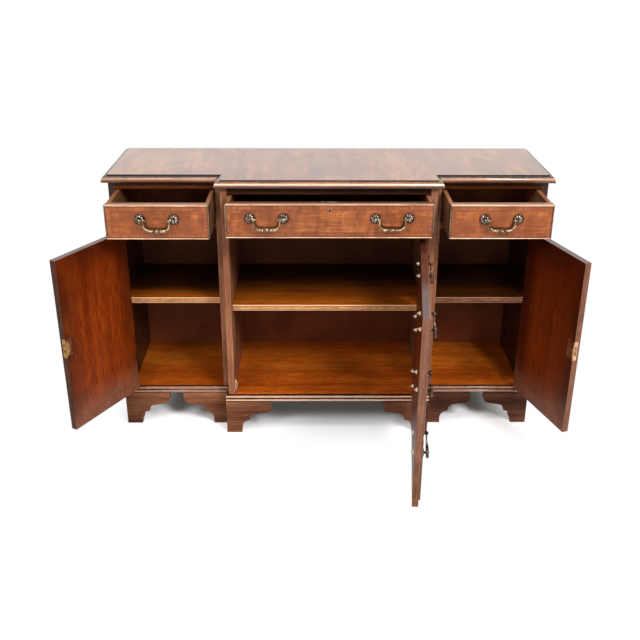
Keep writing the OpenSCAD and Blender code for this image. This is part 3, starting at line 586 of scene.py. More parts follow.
SHADED_RAILS = ((34, 16, 9), (52, 28, 16), (82, 48, 31))
SOFTWOOD = ((120, 86, 54), (156, 118, 78), (184, 146, 102))


def side_wood(node, outward):
    """A side panel: polished on its outer face, nearly black on its other faces, which on the front
    edge is painted shade.
    """
    wood = Wood(f"{node} wood")
    figure = wood.figure("z")
    # Every face but the outer one takes the nearly black tones; on the front edge that is painted
    # shade.
    outer = wood.smooth(wood.facing("x") * outward, 0.3, 0.7)
    colour = wood.mix(outer, wood.tones(figure, *DARK_INSIDE), wood.tones(figure, *OUTSIDE))
    colour, pores, blotches = wood.patina(colour, "z", OUTSIDE[0], OUTSIDE[2], 0.5)
    return wood.polish(
        colour, figure, pores, blotches, 0.3,
        Coat_Weight=outer * 0.5, Coat_Roughness=0.12, Specular_IOR_Level=0.3,
    )


def feet_wood():
    """Bracket feet: darker on the right, as painted shade."""
    wood = Wood("bracket feet")
    figure = wood.figure("xy")
    # Painted shade: the feet are darker on the right.
    shaded = wood.smooth(wood.split(wood.wavy)[0], 0.2, 0.4)
    colour = wood.mix(shaded, wood.tones(figure, *FEET), wood.tones(figure, *SHADED_FEET))
    colour, pores, blotches = wood.patina(colour, "xy", SHADED_FEET[0], FEET[2], 0.8, 0.6)
    return wood.polish(colour, figure, pores, blotches, 0.45, Specular_IOR_Level=0.08)


def rail_wood():
    """The rails: darker over the centre bay, as painted shade under the widest part of the
    moulding.
    """
    wood = Wood("rails")
    figure = wood.figure("x")
    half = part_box("centre_shelf")[1].x
    # Painted shade: the rails are darker over the centre bay, under the moulding.
    darkened = wood.smooth(abs(wood.split(wood.point)[0]), half + 24 * MM, half + 12 * MM)
    colour = wood.mix(darkened, wood.tones(figure, *RAILS), wood.tones(figure, *SHADED_RAILS))
    colour, pores, blotches = wood.patina(colour, "x", SHADED_RAILS[0], RAILS[2], 0.8)
    return wood.polish(colour, figure, pores, blotches, 0.5, Specular_IOR_Level=0.05)


for node, outward in (("left_side_panel", -1), ("right_side_panel", 1)):
    dress([node], side_wood(node, outward))
stiles = plain_wood("stiles", "z", STILES, gloss=0.45, shine=0.06, wear=1.0, stripe=90, stain=0.5)
dress(["left_partition", "right_partition", "bay_stiles"], stiles)
rails = rail_wood()
dress(["top_rails"], rails)
dress(["divider_frames"], rails)
dress(["bracket_feet"], feet_wood())
inside = plain_wood("stained inside", "z", INSIDE, gloss=0.6, wear=0.2, shine=0.1)
dress(["drawer_guides"], inside)
dress(["back_foot_board"], inside)
blocks = plain_wood("glue blocks", "z", SOFTWOOD, gloss=0.7, shine=0.1)
dress(["glue_blocks"], blocks)
print("carcass boards: dressed")

# %% [markdown]
# Each shelf is lighter towards its front and darker at the back, as painted light and shade, and
# its lip carries painted highlight lines with a painted shaded groove inside each. The mouldings
# have painted highlights on their rounds and painted shade, partly old wax, in their hollows. The
# back boards are paler near the floor as painted light and darker high up as painted shade, and
# the floor boards are lighter further in as painted light and raw and grey underneath. All these
# changes go with a place on the board.

# %% Shelves, floors, backs and mouldings
WAX_AND_SHADE = (24, 13, 9)
PAINTED_HIGHLIGHT = (246, 204, 174)
CREST_DOWN, CREST_HALF = 10.4 * MM, 3.4 * MM
side_front, block_front = (
    shut_box(f"{drawer}_front", drawer)[0].y for drawer in ("left_drawer", "centre_drawer")
)
block_step = side_front - block_front
RAW = ((44, 38, 32), (62, 54, 46), (84, 74, 64))
LIT_BACK = ((120, 62, 36), (154, 82, 48), (186, 108, 66))
HIGH_SHADE = (34, 32, 22)


def shelf_wood(node, top_tones, lip_tones, highlight_share, reach):
    """A shelf: lighter towards its front as painted light, with painted highlight lines along its
    lip's edges and a painted shaded groove line inside each.
    """
    wood = Wood(f"{node} wood")
    figure = wood.figure("x", growth=0.35, fibre=0.5)
    depth = wood.split(wood.point)[1]
    low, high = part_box(node)
    # Painted light and shade: lighter towards the front, darker at the back.
    lightened = wood.smooth(depth, low.y + reach * (high.y - low.y), low.y)
    colour = wood.mix(lightened, wood.tones(figure, *SHELF_BACK_SHADE), wood.tones(figure, *top_tones))
    forward = wood.smooth(wood.facing("y"), -0.3, -0.7)
    lip = wood.smooth(depth, low.y + 6 * MM, low.y + 3 * MM) * forward
    colour = wood.mix(lip, colour, wood.tones(figure, *lip_tones))
    to_edge = wood.border(low, high, "z")
    # Painted highlight lines along the lip's two edges, and a painted shaded groove line inside
    # each.
    bead = wood.smooth(to_edge, 3.6 * MM, 2.6 * MM) * lip
    groove_shade = wood.smooth(abs(to_edge - 4.4 * MM), 1.1 * MM, 0.4 * MM) * lip
    colour = wood.mix(bead * highlight_share, colour, tone(*LIP_HIGHLIGHT))
    colour = wood.mix(groove_shade * 0.6, colour, tone(*lip_tones[0]))
    colour, pores, blotches = wood.patina(colour, "x", SHELF[0], lip_tones[2], 0.6, 0.15)
    return wood.polish(colour, figure, pores, blotches, 0.44, Specular_IOR_Level=0.2)


def floor_wood():
    """The cupboard floors: golden brown on top, lighter further in as painted light, darker in the
    left bay as painted shade, and raw below.
    """
    wood = Wood("cupboard floors")
    figure = wood.figure("x", growth=0.25, ribbon=0.15, fibre=0.65, fine=520)
    low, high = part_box("bottom_boards")
    x, depth, _ = wood.split(wood.wavy)
    # Painted light: the floors are lighter further in.
    lit_further_in = wood.smooth(depth, low.y + 0.36 * (high.y - low.y), low.y + 0.66 * (high.y - low.y))
    golden = wood.mix(lit_further_in, wood.tones(figure, *FLOOR), wood.tones(figure, *LIT_FLOOR))
    # Painted shade: the left bay's floor is darker.
    golden = wood.mix(wood.smooth(x, -0.3, -0.36) * 0.3, golden, tone(*FLOOR[0]))
    upward = wood.smooth(wood.facing("z"), 0.3, 0.7)
    colour = wood.mix(upward, wood.tones(figure, *RAW), golden)
    colour, pores, blotches = wood.patina(colour, "x", FLOOR[0], FLOOR[2], 0.3, 0.35, 0.7)
    return wood.polish(colour, figure, pores, blotches, 0.44, Specular_IOR_Level=0.2)


def back_wood():
    """The stained back boards, paler near the floor as painted light, and darker high up as painted
    shade.
    """
    wood = Wood("stained back boards")
    figure = wood.figure("z", growth=0.4, ribbon=0.0, fibre=0.06, broad=5, fine=160) * 0.5
    figure = figure + wood.noise(wood.point, 9.0, 3.0) * 0.6
    low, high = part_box("back_boards")
    height = wood.split(wood.wavy)[2]
    # Painted light: paler near the floor.
    lit_low = wood.smooth(height, low.z + 0.34 * (high.z - low.z), low.z)
    colour = wood.mix(lit_low, wood.tones(figure, *BACK), wood.tones(figure, *LIT_BACK))
    # Painted shade: darker high up.
    shaded_high = wood.smooth(height, low.z + 0.5 * (high.z - low.z), low.z + 0.85 * (high.z - low.z))
    colour = wood.mix(shaded_high * 0.6, colour, tone(*HIGH_SHADE))
    colour, pores, blotches = wood.patina(colour, "z", BACK[0], LIT_BACK[2], 0.1, 0.4, 0.12)
    return wood.polish(colour, figure, pores, blotches, 0.6, Specular_IOR_Level=0.08)


def moulded(name, node, hollows, crests, side_share):
    """A moulding, with dark lines painted in its hollows and a painted highlight on its crests.

    hollows are (height, half width, share of the dark line kept on the centre block), crests are
    (height, half width).
    """
    wood = Wood(name)
    figure = wood.figure("xy", broad=60, stripe=120)
    colour = wood.tones(figure, *MOULDING)
    colour, pores, blotches = wood.patina(colour, "xy", MOULDING[0], MOULDING[2], 0.35, 0.5)
    _, depth, height = wood.split(wood.point)
    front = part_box(node)[0].y
    forward = wood.smooth(depth, front + block_step * 0.8, front + block_step * 0.6)
    patches = wood.noise(wood.point, 70.0, 2.0) * 0.5
    # Painted highlight on the crests: full on the centre block, and side_share of it on the sides.
    wear_and_highlight = (forward * (1 - side_share) + side_share) * (0.75 + patches)
    for middle, half in crests:
        crest = wood.smooth(abs(height - middle), half * 1.3, half * 0.4) * wear_and_highlight
        colour = wood.mix(wood.least(crest, 1.0), colour, tone(*PAINTED_HIGHLIGHT))
    # Dark lines in the hollows and under the moulding: painted shade, partly old wax.
    for middle, half, in_front in hollows:
        line = wood.smooth(abs(height - middle), half * 1.35, half * 0.75)
        kept = 1 - forward * (1 - in_front)
        colour = wood.mix(line * kept * 0.93, colour, tone(*WAX_AND_SHADE))
    return wood.polish(
        colour, figure, pores, blotches, 0.24,
        Coat_Weight=0.7, Coat_Roughness=0.12, Specular_IOR_Level=0.35,
    )


# The right shelf takes darker tones and less painted highlight, as painted shade.
for node, *look in (
    ("left_shelf", SHELF, LIP, 0.9, 0.38),
    ("centre_shelf", SHELF, LIP, 0.9, 0.7),
    ("right_shelf", SHADED_SHELF, SHADED_LIP, 0.2, 0.4),
):
    dress([node], shelf_wood(node, *look), 0.3 * MM)
dress(["bottom_boards"], floor_wood())
dress(["back_boards"], back_wood(), None)
low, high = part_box("top_moulding")
# The top moulding: dark lines painted in its hollows and under it, a painted highlight on its
# crest.
top_hollows = (
    (high.z - 1.0 * MM, 1.3 * MM, 1), (high.z - 1.8 * MM, 1.9 * MM, 0.2),
    (high.z - 4.2 * MM, 1.6 * MM, 0), (low.z + 0.5 * MM, 2.8 * MM, 1),
)
top_crest = (high.z - CREST_DOWN, CREST_HALF)
top_wood = moulded("top moulding", "top_moulding", top_hollows, (top_crest,), 0.4)
dress(["top_moulding"], top_wood, 0.4 * MM)
low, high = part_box("plinth_moulding")
groove = (low.z + high.z) / 2 + 0.2 * MM
# The plinth: dark lines painted in its hollows, a painted highlight on its two beads.
plinth_hollows = ((low.z, 1.2 * MM, 1), (groove, 1.3 * MM, 1), (high.z, 1.1 * MM, 1))
plinth_crests = [((low.z + groove) / 2, 2.8 * MM), ((groove + high.z) / 2, 2.8 * MM)]
plinth_wood = moulded("plinth moulding", "plinth_moulding", plinth_hollows, plinth_crests, 0.25)
dress(["plinth_moulding"], plinth_wood, 0.4 * MM)
# The shelves are lightened by depth as painted light; the mouldings carry painted shade and
# highlights by height.
print("shelves and mouldings: bleached by depth, waxed by height")

# %% [markdown]
# The top is the cabinet's best veneer: crotch mahogany, cut where a branch meets the trunk, so
# that its grain rises in plumes like feathers. The plumes here are arcs: the figure is drawn out
# along a curve by bending the point before the noise reads it. Over it lies the thickest french
# polish, in which the white room shows as a pale sheen.

# %% Top
TOP = ((128, 70, 36), (164, 96, 50), (204, 132, 70))
PLUMES = (-0.42, 0.02, 0.44)
PLUME_HALF = 0.24


def figured_top():
    """Crotch veneer under a deep polish."""
    wood = Wood("figured top")
    x, y, z = wood.split(wood.wavy)
    nearest = None
    for place in PLUMES:
        away = abs(x - place)
        nearest = away if nearest is None else wood.least(nearest, away)
    bent = y + nearest * nearest * 2.2 / PLUME_HALF
    plume = wood.node("ShaderNodeCombineXYZ", sockets={0: nearest * 0.6, 1: bent, 2: z})
    feathers = wood.noise(plume, (12, 18, 9), 1.0)
    wisps = wood.noise(wood.wavy, (42, 5, 5), 2.0, 0.55)
    sweep = wood.noise(wood.point, (4.0, 1.6, 1.0), 2.0)
    fibres = wood.noise(wood.wavy, (520, 26, 60), 1.0)
    figure = wood.smooth(feathers * 0.2 + wisps * 0.35 + sweep * 0.4 + fibres * 0.05, 0.33, 0.67)
    colour = wood.tones(figure, *TOP)
    colour, pores, blotches = wood.patina(colour, "y", TOP[0], TOP[2], 0.5, 0.2, 0.15)
    return wood.polish(
        colour, figure * 0.1, pores * 0.1, blotches, 0.26,
        Coat_Weight=0.9, Coat_Roughness=0.1, Specular_IOR_Level=0.5,
    )


dress(["top_board"], figured_top(), 0.5 * MM)
print("top:", len(PLUMES), "plumes in", len(TOP), "tones")

# %% [markdown]
# Each drawer front is a picture of veneers. The field is a mottled, honey-brown piece, with its
# grain along the drawer, opened like a book, so that its flames mirror each other about the
# keyhole. Round it runs a crossbanding, cut so that its grain points outwards, and
# a dark line marks the joint. Which veneer a point belongs to is told by its distance from the
# front's borders, so the picture fits any front, drawers and doors alike.

# %% Veneered fronts
FIELD = ((128, 64, 28), (169, 92, 44), (208, 124, 66))
BANDING = ((116, 58, 28), (152, 82, 44), (184, 106, 60))
TOP_EDGE = ((128, 82, 54), (162, 112, 80), (192, 142, 106))
SHADED_TOP_EDGE = ((70, 40, 28), (98, 62, 46), (134, 92, 70))
JOINT_LINE = (70, 34, 20)
HANDLE_SHADOW = (56, 17, 4)
BEAD_GAP_SHADE = (40, 18, 12)
BEAD_W = 3 * MM
BAND_WIDTH = 14 * MM
LINE_WIDTH = 0.9 * MM
JOINT_SOFT = 0.3 * MM
ROSETTE_X, ROSETTE_SHADE_R = 49 * MM, 15.5 * MM
SHADOW_GRIP_X, SHADOW_GRIP_Z, SHADOW_CORNER = 18 * MM, -29 * MM, 17 * MM
DRAWERS = ("left_drawer", "centre_drawer", "right_drawer")


def shut_handles(body):
    """Where a body's handles are, as (x, z) with the body shut."""
    angles, shift = shut_pose(body)
    turn = Matrix.Rotation(angles[2], 3, "Z")
    places = [
        turn @ Vector(joint["pos_m"]) + shift
        for joint in frame["joints"] if joint["parent"] == body and joint["child"].endswith("_bail")
    ]
    return [(place.x, place.z) for place in places]


def behind_handles(wood, handle_xz):
    """How strong the painted shade is round each rosette, and the painted shadow in a line behind
    each bail.
    """
    x, _, z = wood.split(wood.point)
    shadow_share = 0.0
    for handle_x, handle_z in handle_xz:
        out, up = abs(x - handle_x), z - handle_z
        from_post = ((out - ROSETTE_X) ** 2 + up ** 2) ** 0.5
        outward = wood.most(out - SHADOW_GRIP_X, 0.0)
        downward = wood.most(SHADOW_GRIP_Z + SHADOW_CORNER - up, 0.0)
        inside = SHADOW_CORNER - (outward ** 2 + downward ** 2) ** 0.5
        line = wood.smooth(abs(inside), 6 * MM, 3 * MM) * wood.smooth(up, 0.0, -8 * MM)
        halo = wood.smooth(from_post, ROSETTE_SHADE_R * 1.2, ROSETTE_SHADE_R)
        shadow_share = wood.most(wood.most(halo, line), shadow_share)
    return shadow_share * (0.6 + wood.noise(wood.point, 120.0, 2.0) * 0.4)


def mottled(wood, grain, share):
    """The figure of the best veneer: plain grain, with soft clouds across it by some share."""
    plain = wood.figure(grain, growth=0.3, ribbon=0.1, fibre=0.4, broad=30, fine=300)
    clouds = wood.noise(wood.wavy, (34, 34, 15), 3.0, 0.6, 0.6)
    return wood.smooth(plain * (1 - share) + clouds * share, 0.2, 0.8)


def flames(wood, low, high):
    """Two mirrored halves of one veneer: slanting flames that meet in the middle of the front."""
    x, y, z = wood.split(wood.wavy)
    away = abs(x - (low.x + high.x) / 2)
    slanted = {0: away * 0.55 - z, 1: y, 2: (away + z) * 0.2}
    return wood.noise(wood.node("ShaderNodeCombineXYZ", sockets=slanted), 16.0, 2.0, 0.5, 0.4)


def banded_front(name, body, panels, top_tones):
    """Mottled fields with crossbanded borders. panels are corners (low, high) of shut fronts."""
    wood = Wood(name, body)
    across = wood.border(*panels[0], "x")
    upright = wood.border(*panels[0], "z")
    for low, high in panels[1:]:
        upright = wood.most(upright, wood.border(low, high, "z"))
    near = wood.least(across, upright)
    figured = mottled(wood, "x", 0.6) * 0.7 + flames(wood, *panels[0]) * 0.3
    field = wood.smooth(figured, 0.05, 0.85)
    glow = wood.smooth(across, 30 * MM, 240 * MM) * field * 0.6
    field_colour = wood.mix(glow, wood.tones(field, *FIELD), tone(*FIELD[2]))
    lengthwise = wood.figure("z", growth=0.35, ribbon=0.25, fibre=0.4, stripe=100)
    sideways = wood.figure("x", growth=0.35, ribbon=0.25, fibre=0.4, stripe=100)
    on_end = across < upright
    band_colour = wood.tones(lengthwise * (1 - on_end) + sideways * on_end, *BANDING)
    edge = BEAD_W + BAND_WIDTH
    in_field = wood.smooth(near, edge - JOINT_SOFT, edge + JOINT_SOFT)
    colour = wood.mix(in_field, band_colour, field_colour)
    line = wood.smooth(abs(near - edge), LINE_WIDTH, LINE_WIDTH * 0.3)
    colour = wood.mix(line * 0.5, colour, tone(*JOINT_LINE))
    colour, pores, blotches = wood.patina(colour, "x", FIELD[0], FIELD[2], 0.6, 0.22, 0.35)
    # Painted shade round the rosettes and a painted shadow behind each bail.
    colour = wood.mix(behind_handles(wood, shut_handles(body)), colour, tone(*HANDLE_SHADOW))
    # Painted shade in the gap along the veneer's border, at the cockbead's root.
    grime_and_shade = wood.smooth(near, BEAD_W + 3.4 * MM, BEAD_W + 0.6 * MM)
    colour = wood.mix(grime_and_shade * 0.85, colour, tone(*BEAD_GAP_SHADE))
    # The top face takes its own tones: for the centre drawer and the false fronts a darker copy, as
    # painted shade.
    upward = wood.smooth(wood.facing("z"), 0.5, 0.8)
    colour = wood.mix(upward, colour, wood.tones(sideways, *top_tones))
    return wood.polish(
        colour, field, pores, blotches, 0.36,
        Coat_Weight=0.12, Coat_Roughness=0.15, Specular_IOR_Level=0.3,
    )


for drawer in DRAWERS:
    node = f"{drawer}_front"
    # The centre drawer's top edge takes the darker copy, as painted shade.
    top_tones = SHADED_TOP_EDGE if drawer == "centre_drawer" else TOP_EDGE
    front = banded_front(f"{drawer} veneer", drawer, [shut_box(node, drawer)], top_tones)
    dress([node], front, 0.5 * MM)
    print(f"{drawer}: banded front")

# %% [markdown]
# A cockbead is a thin rounded strip round each front, which keeps the veneer's edge from being
# picked up by a sleeve. On the drawers its top and bottom lengths are painted almost yellow, a
# painted highlight, its upright lengths darker as painted shade, and the veneer at its root dark.

# %% Cockbeads
LIT_BEAD = ((186, 118, 82), (246, 184, 142), (255, 226, 192))
SHADED_BEAD = ((96, 52, 34), (130, 78, 54), (166, 108, 80))
SHADED_UPRIGHT_BEAD = ((78, 40, 24), (112, 62, 40), (146, 88, 60))


def cockbead(node, body, tones, wear=0.35):
    """A bead in the given tones, darker on its upright lengths as painted shade."""
    wood = Wood(f"{node} wood", body)
    figure = wood.figure("xz", broad=60)
    colour = wood.tones(figure, *tones)
    # Painted shade: the upright lengths are darker.
    upright = wood.smooth(wood.border(*shut_box(node, body), "x"), BEAD_W + 0.5 * MM, BEAD_W)
    colour = wood.mix(upright, colour, wood.tones(figure, *SHADED_UPRIGHT_BEAD))
    colour, pores, blotches = wood.patina(colour, "xz", SHADED_UPRIGHT_BEAD[0], tones[1], wear, 0.1)
    return wood.polish(
        colour, figure, pores, blotches, 0.28,
        Coat_Weight=0.4, Coat_Roughness=0.12, Specular_IOR_Level=0.4,
    )


# The drawers' beads take nearly white tones, a painted highlight.
for drawer in DRAWERS:
    node = f"{drawer}_cockbead"
    dress([node], cockbead(node, drawer, LIT_BEAD), 0.2 * MM)
# The false cockbeads take darker tones, as painted shade.
false_bead = cockbead("false_cockbeads", "centre_door", SHADED_BEAD, 0.1)
dress(["false_cockbeads"], false_bead, 0.2 * MM)
print("cockbeads: four sets")

# %% [markdown]
# The drawer linings are thin mahogany boards. Their top edges are planed bare and take the light,
# while the inside faces sit in shadow and were stained dark. The door insides show long ribbons
# of quarter-sawn mahogany, the liveliest colour on the whole cabinet.

# %% Drawer linings and doors
LINING = ((92, 60, 40), (128, 88, 60), (162, 118, 84))
BARE_LINING = ((126, 76, 46), (158, 100, 64), (188, 128, 88))
DOOR_INSIDE = ((84, 24, 2), (124, 43, 3), (164, 70, 10))
SHADED_DOOR_INSIDE = ((66, 18, 2), (98, 32, 3), (130, 52, 9))
LIT_EDGE = ((84, 50, 36), (118, 76, 58), (150, 104, 82))
SHADED_DOOR_EDGE = ((46, 26, 18), (70, 42, 30), (98, 64, 46))
SHADED_DOOR_TOP = ((46, 20, 12), (74, 36, 24), (104, 58, 42))
BORDER_SHADE = (54, 18, 5)
FLOOR_REFLECTION = (172, 116, 88)
BORDER_SHADE_REACH, REFLECTION_HEIGHT = 95 * MM, 130 * MM
DOOR_BAND = 1.5 * BAND_WIDTH


def lining(name, body):
    """Drawer sides: bare on top, stained on the faces."""
    wood = Wood(name, body)
    figure = wood.figure("y", growth=0.3, ribbon=0.2, fibre=0.5)
    colour = wood.tones(figure, *LINING)
    top = wood.smooth(wood.facing("z"), 0.6, 0.9)
    colour = wood.mix(top, colour, wood.tones(figure, *BARE_LINING))
    colour, pores, blotches = wood.patina(colour, "y", LINING[0], LINING[2], 0.3)
    return wood.polish(colour, figure, pores, blotches, 0.5, Specular_IOR_Level=0.2)


def door(name, body, low, high, inside_tones, edge_tones):
    """A door: banded veneer outside, ribbon mahogany inside, plain edges, with painted shade and a
    painted floor reflection.
    """
    wood = Wood(name, body)
    ribbons = wood.figure("z", growth=0.25, ribbon=0.25, fibre=0.6, broad=12, stripe=40, fine=480)
    colour = wood.tones(ribbons, *inside_tones)
    near = wood.border(low, high, "xz")
    # Painted shade in patches near the borders.
    patchy = wood.smooth(wood.noise(wood.point, 9.0, 2.0), 0.15, 0.55)
    border_shade = wood.smooth(near, BORDER_SHADE_REACH, 4 * MM) * patchy
    colour = wood.mix(border_shade * 0.7, colour, tone(*BORDER_SHADE))
    height = wood.split(wood.point)[2]
    # A painted reflection of the floor, low down.
    floor_reflection = wood.smooth(height, low.z + REFLECTION_HEIGHT, low.z) * wood.noise(wood.point, 30.0, 3.0)
    colour = wood.mix(floor_reflection * 0.8, colour, tone(*FLOOR_REFLECTION))
    # Painted shade towards the top.
    upper_shade = wood.smooth(height, low.z + 0.55 * (high.z - low.z), high.z)
    colour = wood.mix(upper_shade * 0.4, colour, tone(*inside_tones[0]))
    outward = wood.facing("y")
    outer = wood.tones(mottled(wood, "z", 0.5), *FIELD)
    band = wood.tones(wood.figure("x", growth=0.2, ribbon=0.35, fibre=0.45, stripe=120), *BANDING)
    in_field = wood.smooth(near, DOOR_BAND - JOINT_SOFT, DOOR_BAND + JOINT_SOFT)
    outer = wood.mix(in_field, band, outer)
    edges = wood.tones(ribbons, *edge_tones)
    colour = wood.mix(wood.smooth(outward, -0.6, -0.9), colour, outer)
    colour = wood.mix(wood.smooth(abs(outward), 0.5, 0.3), colour, edges)
    # Painted shade: the top edge takes dark tones; its coat is real polish.
    upward = wood.smooth(wood.facing("z"), 0.6, 0.9)
    colour = wood.mix(upward, colour, wood.tones(ribbons, *SHADED_DOOR_TOP))
    dark, light = inside_tones[0], edge_tones[2]
    colour, pores, blotches = wood.patina(colour, "z", dark, light, 0.4, 0.25, 0.8)
    return wood.polish(
        colour, ribbons, pores, blotches, 0.42,
        Coat_Weight=upward * 0.9, Coat_Roughness=0.16, Specular_IOR_Level=0.12,
    )


for drawer in DRAWERS:
    dress([f"{drawer}_box"], lining(f"{drawer} lining", drawer), 0.6 * MM)
# Lit and shaded copies, as painted light and shade: the left door's inside is lighter and its edge
# darker, the other doors' insides darker and their edges paler.
door_looks = {
    "left": (DOOR_INSIDE, SHADED_DOOR_EDGE, "door_inside"),
    "right": (SHADED_DOOR_INSIDE, LIT_EDGE, "door_inside"),
    "centre": (SHADED_DOOR_INSIDE, LIT_EDGE, "front_veneer"),
}
for side, (inside_tones, edge_tones, slot) in door_looks.items():
    body = f"{side}_door"
    node = f"{body}_panel"
    finish = door(f"{side} door", body, *shut_box(node, body), inside_tones, edge_tones)
    dress([node], finish, 0.7 * MM)
    print(f"{side} door: dressed")

# %% [markdown]
# The centre door pretends to be three more drawers. Each false front is the same picture of
# veneers as a real one, so it is drawn by the same recipe: first the three fronts are told apart
# by height, and then the nearest one's borders give the banding.

# %% False fronts
PANEL_LEAST = 60 * MM


def panel_boxes(node, body):
    """The shut corners of each separate panel of a piece, from the bottom up."""
    low, high = shut_box(node, body)
    mesh = nodes[node].data
    spans = set()
    for edge in mesh.edges:
        ends = sorted(round(mesh.vertices[i].co.z, 4) for i in edge.vertices)
        if ends[1] - ends[0] > PANEL_LEAST:
            spans.add(tuple(ends))
    return [
        (Vector((low.x, low.y, bottom)), Vector((high.x, high.y, top)))
        for bottom, top in sorted(spans)
    ]


false_panels = panel_boxes("false_fronts", "centre_door")
# The false fronts' top edges take the darker copy, as painted shade.
false_front = banded_front("false front veneer", "centre_door", false_panels, SHADED_TOP_EDGE)
dress(["false_fronts"], false_front, 0.3 * MM)
spans = [(round(low.z, 3), round(high.z, 3)) for low, high in false_panels]
print("false fronts at heights", spans)

# %% [markdown]
# Brass that is polished for many years shines where the cloth reaches and turns brown, then
# nearly black, in every hollow. So each casting carries a number on every point of its surface,
# called recess, that says how far a cloth stays away from it. The metal's colour, its shine and
# its roughness all follow that number and a little noise.

# %% Brass and steel
BRASS = ((108, 92, 72), (184, 168, 146), (250, 242, 226))
BAIL_BRASS = ((92, 74, 50), (158, 136, 102), (222, 200, 158))
BRIGHT_BRASS = ((168, 118, 60), (190, 142, 78), (214, 170, 104))
PALE_BRASS = ((204, 150, 108), (226, 174, 134), (242, 198, 162))
SHADED_BRASS = ((70, 48, 38), (114, 90, 72), (172, 150, 126))
NUT_GLINT = ((250, 222, 180), (255, 240, 210), (255, 248, 232))
HINGE_BRASS = ((34, 25, 17), (60, 46, 32), (96, 78, 56))
CASE_BROWN = ((70, 32, 6), (100, 48, 10), (128, 68, 22))
STEEL = ((78, 74, 70), (120, 116, 110), (160, 156, 150))
SOOT = (14, 9, 6)


def aged_metal(name, tones, gloss=0.3, tarnish=0.4, depth=0.00015, metallic=1.0):
    """Old metal: bright where it is rubbed, dark in its recesses."""
    metal = Finish(name)
    point = metal.place()
    recess = metal.node("ShaderNodeAttribute", {"attribute_name": "recess"}, output="Fac")
    clouds = metal.noise(point, 90.0, 3.0, 0.6)
    scratches = metal.noise(point, (500, 900, 3200), 2.0, 0.7)
    dark, middle, light = (tone(*colour) for colour in tones)
    colour = metal.ramp(metal.smooth(clouds, 0.3, 0.7), (0.0, dark), (0.5, middle), (1.0, light))
    grime_and_shade = metal.smooth(recess + (clouds - 0.5) * tarnish, 0.3, 0.75)
    colour = metal.mix(grime_and_shade, colour, tone(*SOOT))
    metal.feed(metal.shader.inputs["Metallic"], (1 - grime_and_shade * 0.7) * metallic)
    rough = (gloss - 0.08) + grime_and_shade * 0.35 + clouds * 0.16
    return metal.finish(colour, rough, scratches * 0.4 + clouds * 0.6, depth)


brass = aged_metal("aged brass", BRASS)
bail_brass = aged_metal("bail brass", BAIL_BRASS, 0.34, 0.5)
# A darker copy of the brass, for the centre door's handles: painted shade.
shaded_brass = aged_metal("shaded brass", SHADED_BRASS, 0.42, 0.6)
bright_brass = aged_metal("bright brass", BRIGHT_BRASS, 0.34, 0.2, 0.00003, 0.8)
pale_brass = aged_metal("pale brass", PALE_BRASS, 0.34, 0.2, 0.00003, 0.3)
# Nearly white and barely metallic: a painted highlight on the nuts and the catch.
glinting_nut_brass = aged_metal("glinting nut brass", NUT_GLINT, 0.3, 0.15, 0.00003, 0.1)
hinge_brass = aged_metal("hinge brass", HINGE_BRASS, 0.5, 0.6)
case_brown = aged_metal("lacquered case", CASE_BROWN, 0.6, 0.2, 0.00005, 0.1)
steel = aged_metal("dull steel", STEEL, 0.42, 0.5)
# Of these seven, the shaded brass is painted shade and the nuts' near-white brass a painted
# highlight.
print("metals: brass in seven ages, brown lacquer and steel")

# %% [markdown]
# Every turned, cast or bent piece is a row of closed rings with a skin drawn over them. A turned
# post has round rings that grow and shrink, a bent rod has rings that follow its path, and a
# flower has rings with petals in them. A Casting takes such rings in its own small frame, joins
# each to the next, closes the two ends, and notes each point's recess.

# %% Castings
class Casting:
    """A metal piece, drawn ring by ring in a frame of its own."""

    def __init__(self, place):
        self.place = place
        self.shape = bmesh.new()
        self.recess = self.shape.verts.layers.float.new("recess")

    def skin(self, rings, loop=False):
        """Joins rings of (point, recess) pairs. A loop has no ends, else both ends are capped."""
        rows = []
        for ring in rings:
            row = [self.shape.verts.new(self.place @ Vector(point)) for point, _ in ring]
            for vertex, (_, depth) in zip(row, ring):
                vertex[self.recess] = depth
            rows.append(row)
        pairs = list(zip(rows, rows[1:])) + ([(rows[-1], rows[0])] if loop else [])
        for low, high in pairs:
            for i in range(len(low)):
                j = (i + 1) % len(low)
                self.shape.faces.new((low[i], low[j], high[j], high[i]))
        if not loop:
            self.shape.faces.new(rows[0][::-1])
            self.shape.faces.new(rows[-1])

    def turned(self, stations, centre=(0, 0, 0), axis="y", sides=24):
        """A turned piece, along x or y. stations are (place along the axis, radius, recess)."""
        rings = []
        for along, radius, depth in stations:
            ring = []
            for i in range(sides):
                angle = 2 * math.pi * i / sides
                a, b = radius * math.cos(angle), radius * math.sin(angle)
                point = (along, a, b) if axis == "x" else (a, along, b)
                ring.append((Vector(centre) + Vector(point), depth))
            rings.append(ring)
        self.skin(rings)

    def plate(self, outline, start, end, corner=0.3 * MM):
        """A flat piece: an outline of (x, z) points, between two y, with a small chamfer."""
        middle_x = sum(x for x, _ in outline) / len(outline)
        middle_z = sum(z for _, z in outline) / len(outline)
        rings = []
        for y, inset in ((start, corner), (start + corner, 0), (end - corner, 0), (end, corner)):
            ring = []
            for x, z in outline:
                inward = Vector((middle_x - x, middle_z - z)).normalized() * inset
                ring.append(((x + inward.x, y, z + inward.y), 0.0))
            rings.append(ring)
        self.skin(rings)

    def cast(self, name, material, slot, body, *replaced):
        """Makes the object, gives it its finish, and lets it stand for pieces of the cabinet."""
        bmesh.ops.recalc_face_normals(self.shape, faces=self.shape.faces)
        mesh = bpy.data.meshes.new(name)
        self.shape.to_mesh(mesh)
        self.shape.free()
        mesh.materials.append(material)
        mesh.shade_smooth()
        mesh.set_sharp_from_angle(angle=math.radians(40))
        piece = bpy.data.objects.new(name, mesh)
        bpy.context.scene.collection.objects.link(piece)
        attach(piece, body)
        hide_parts(*replaced)


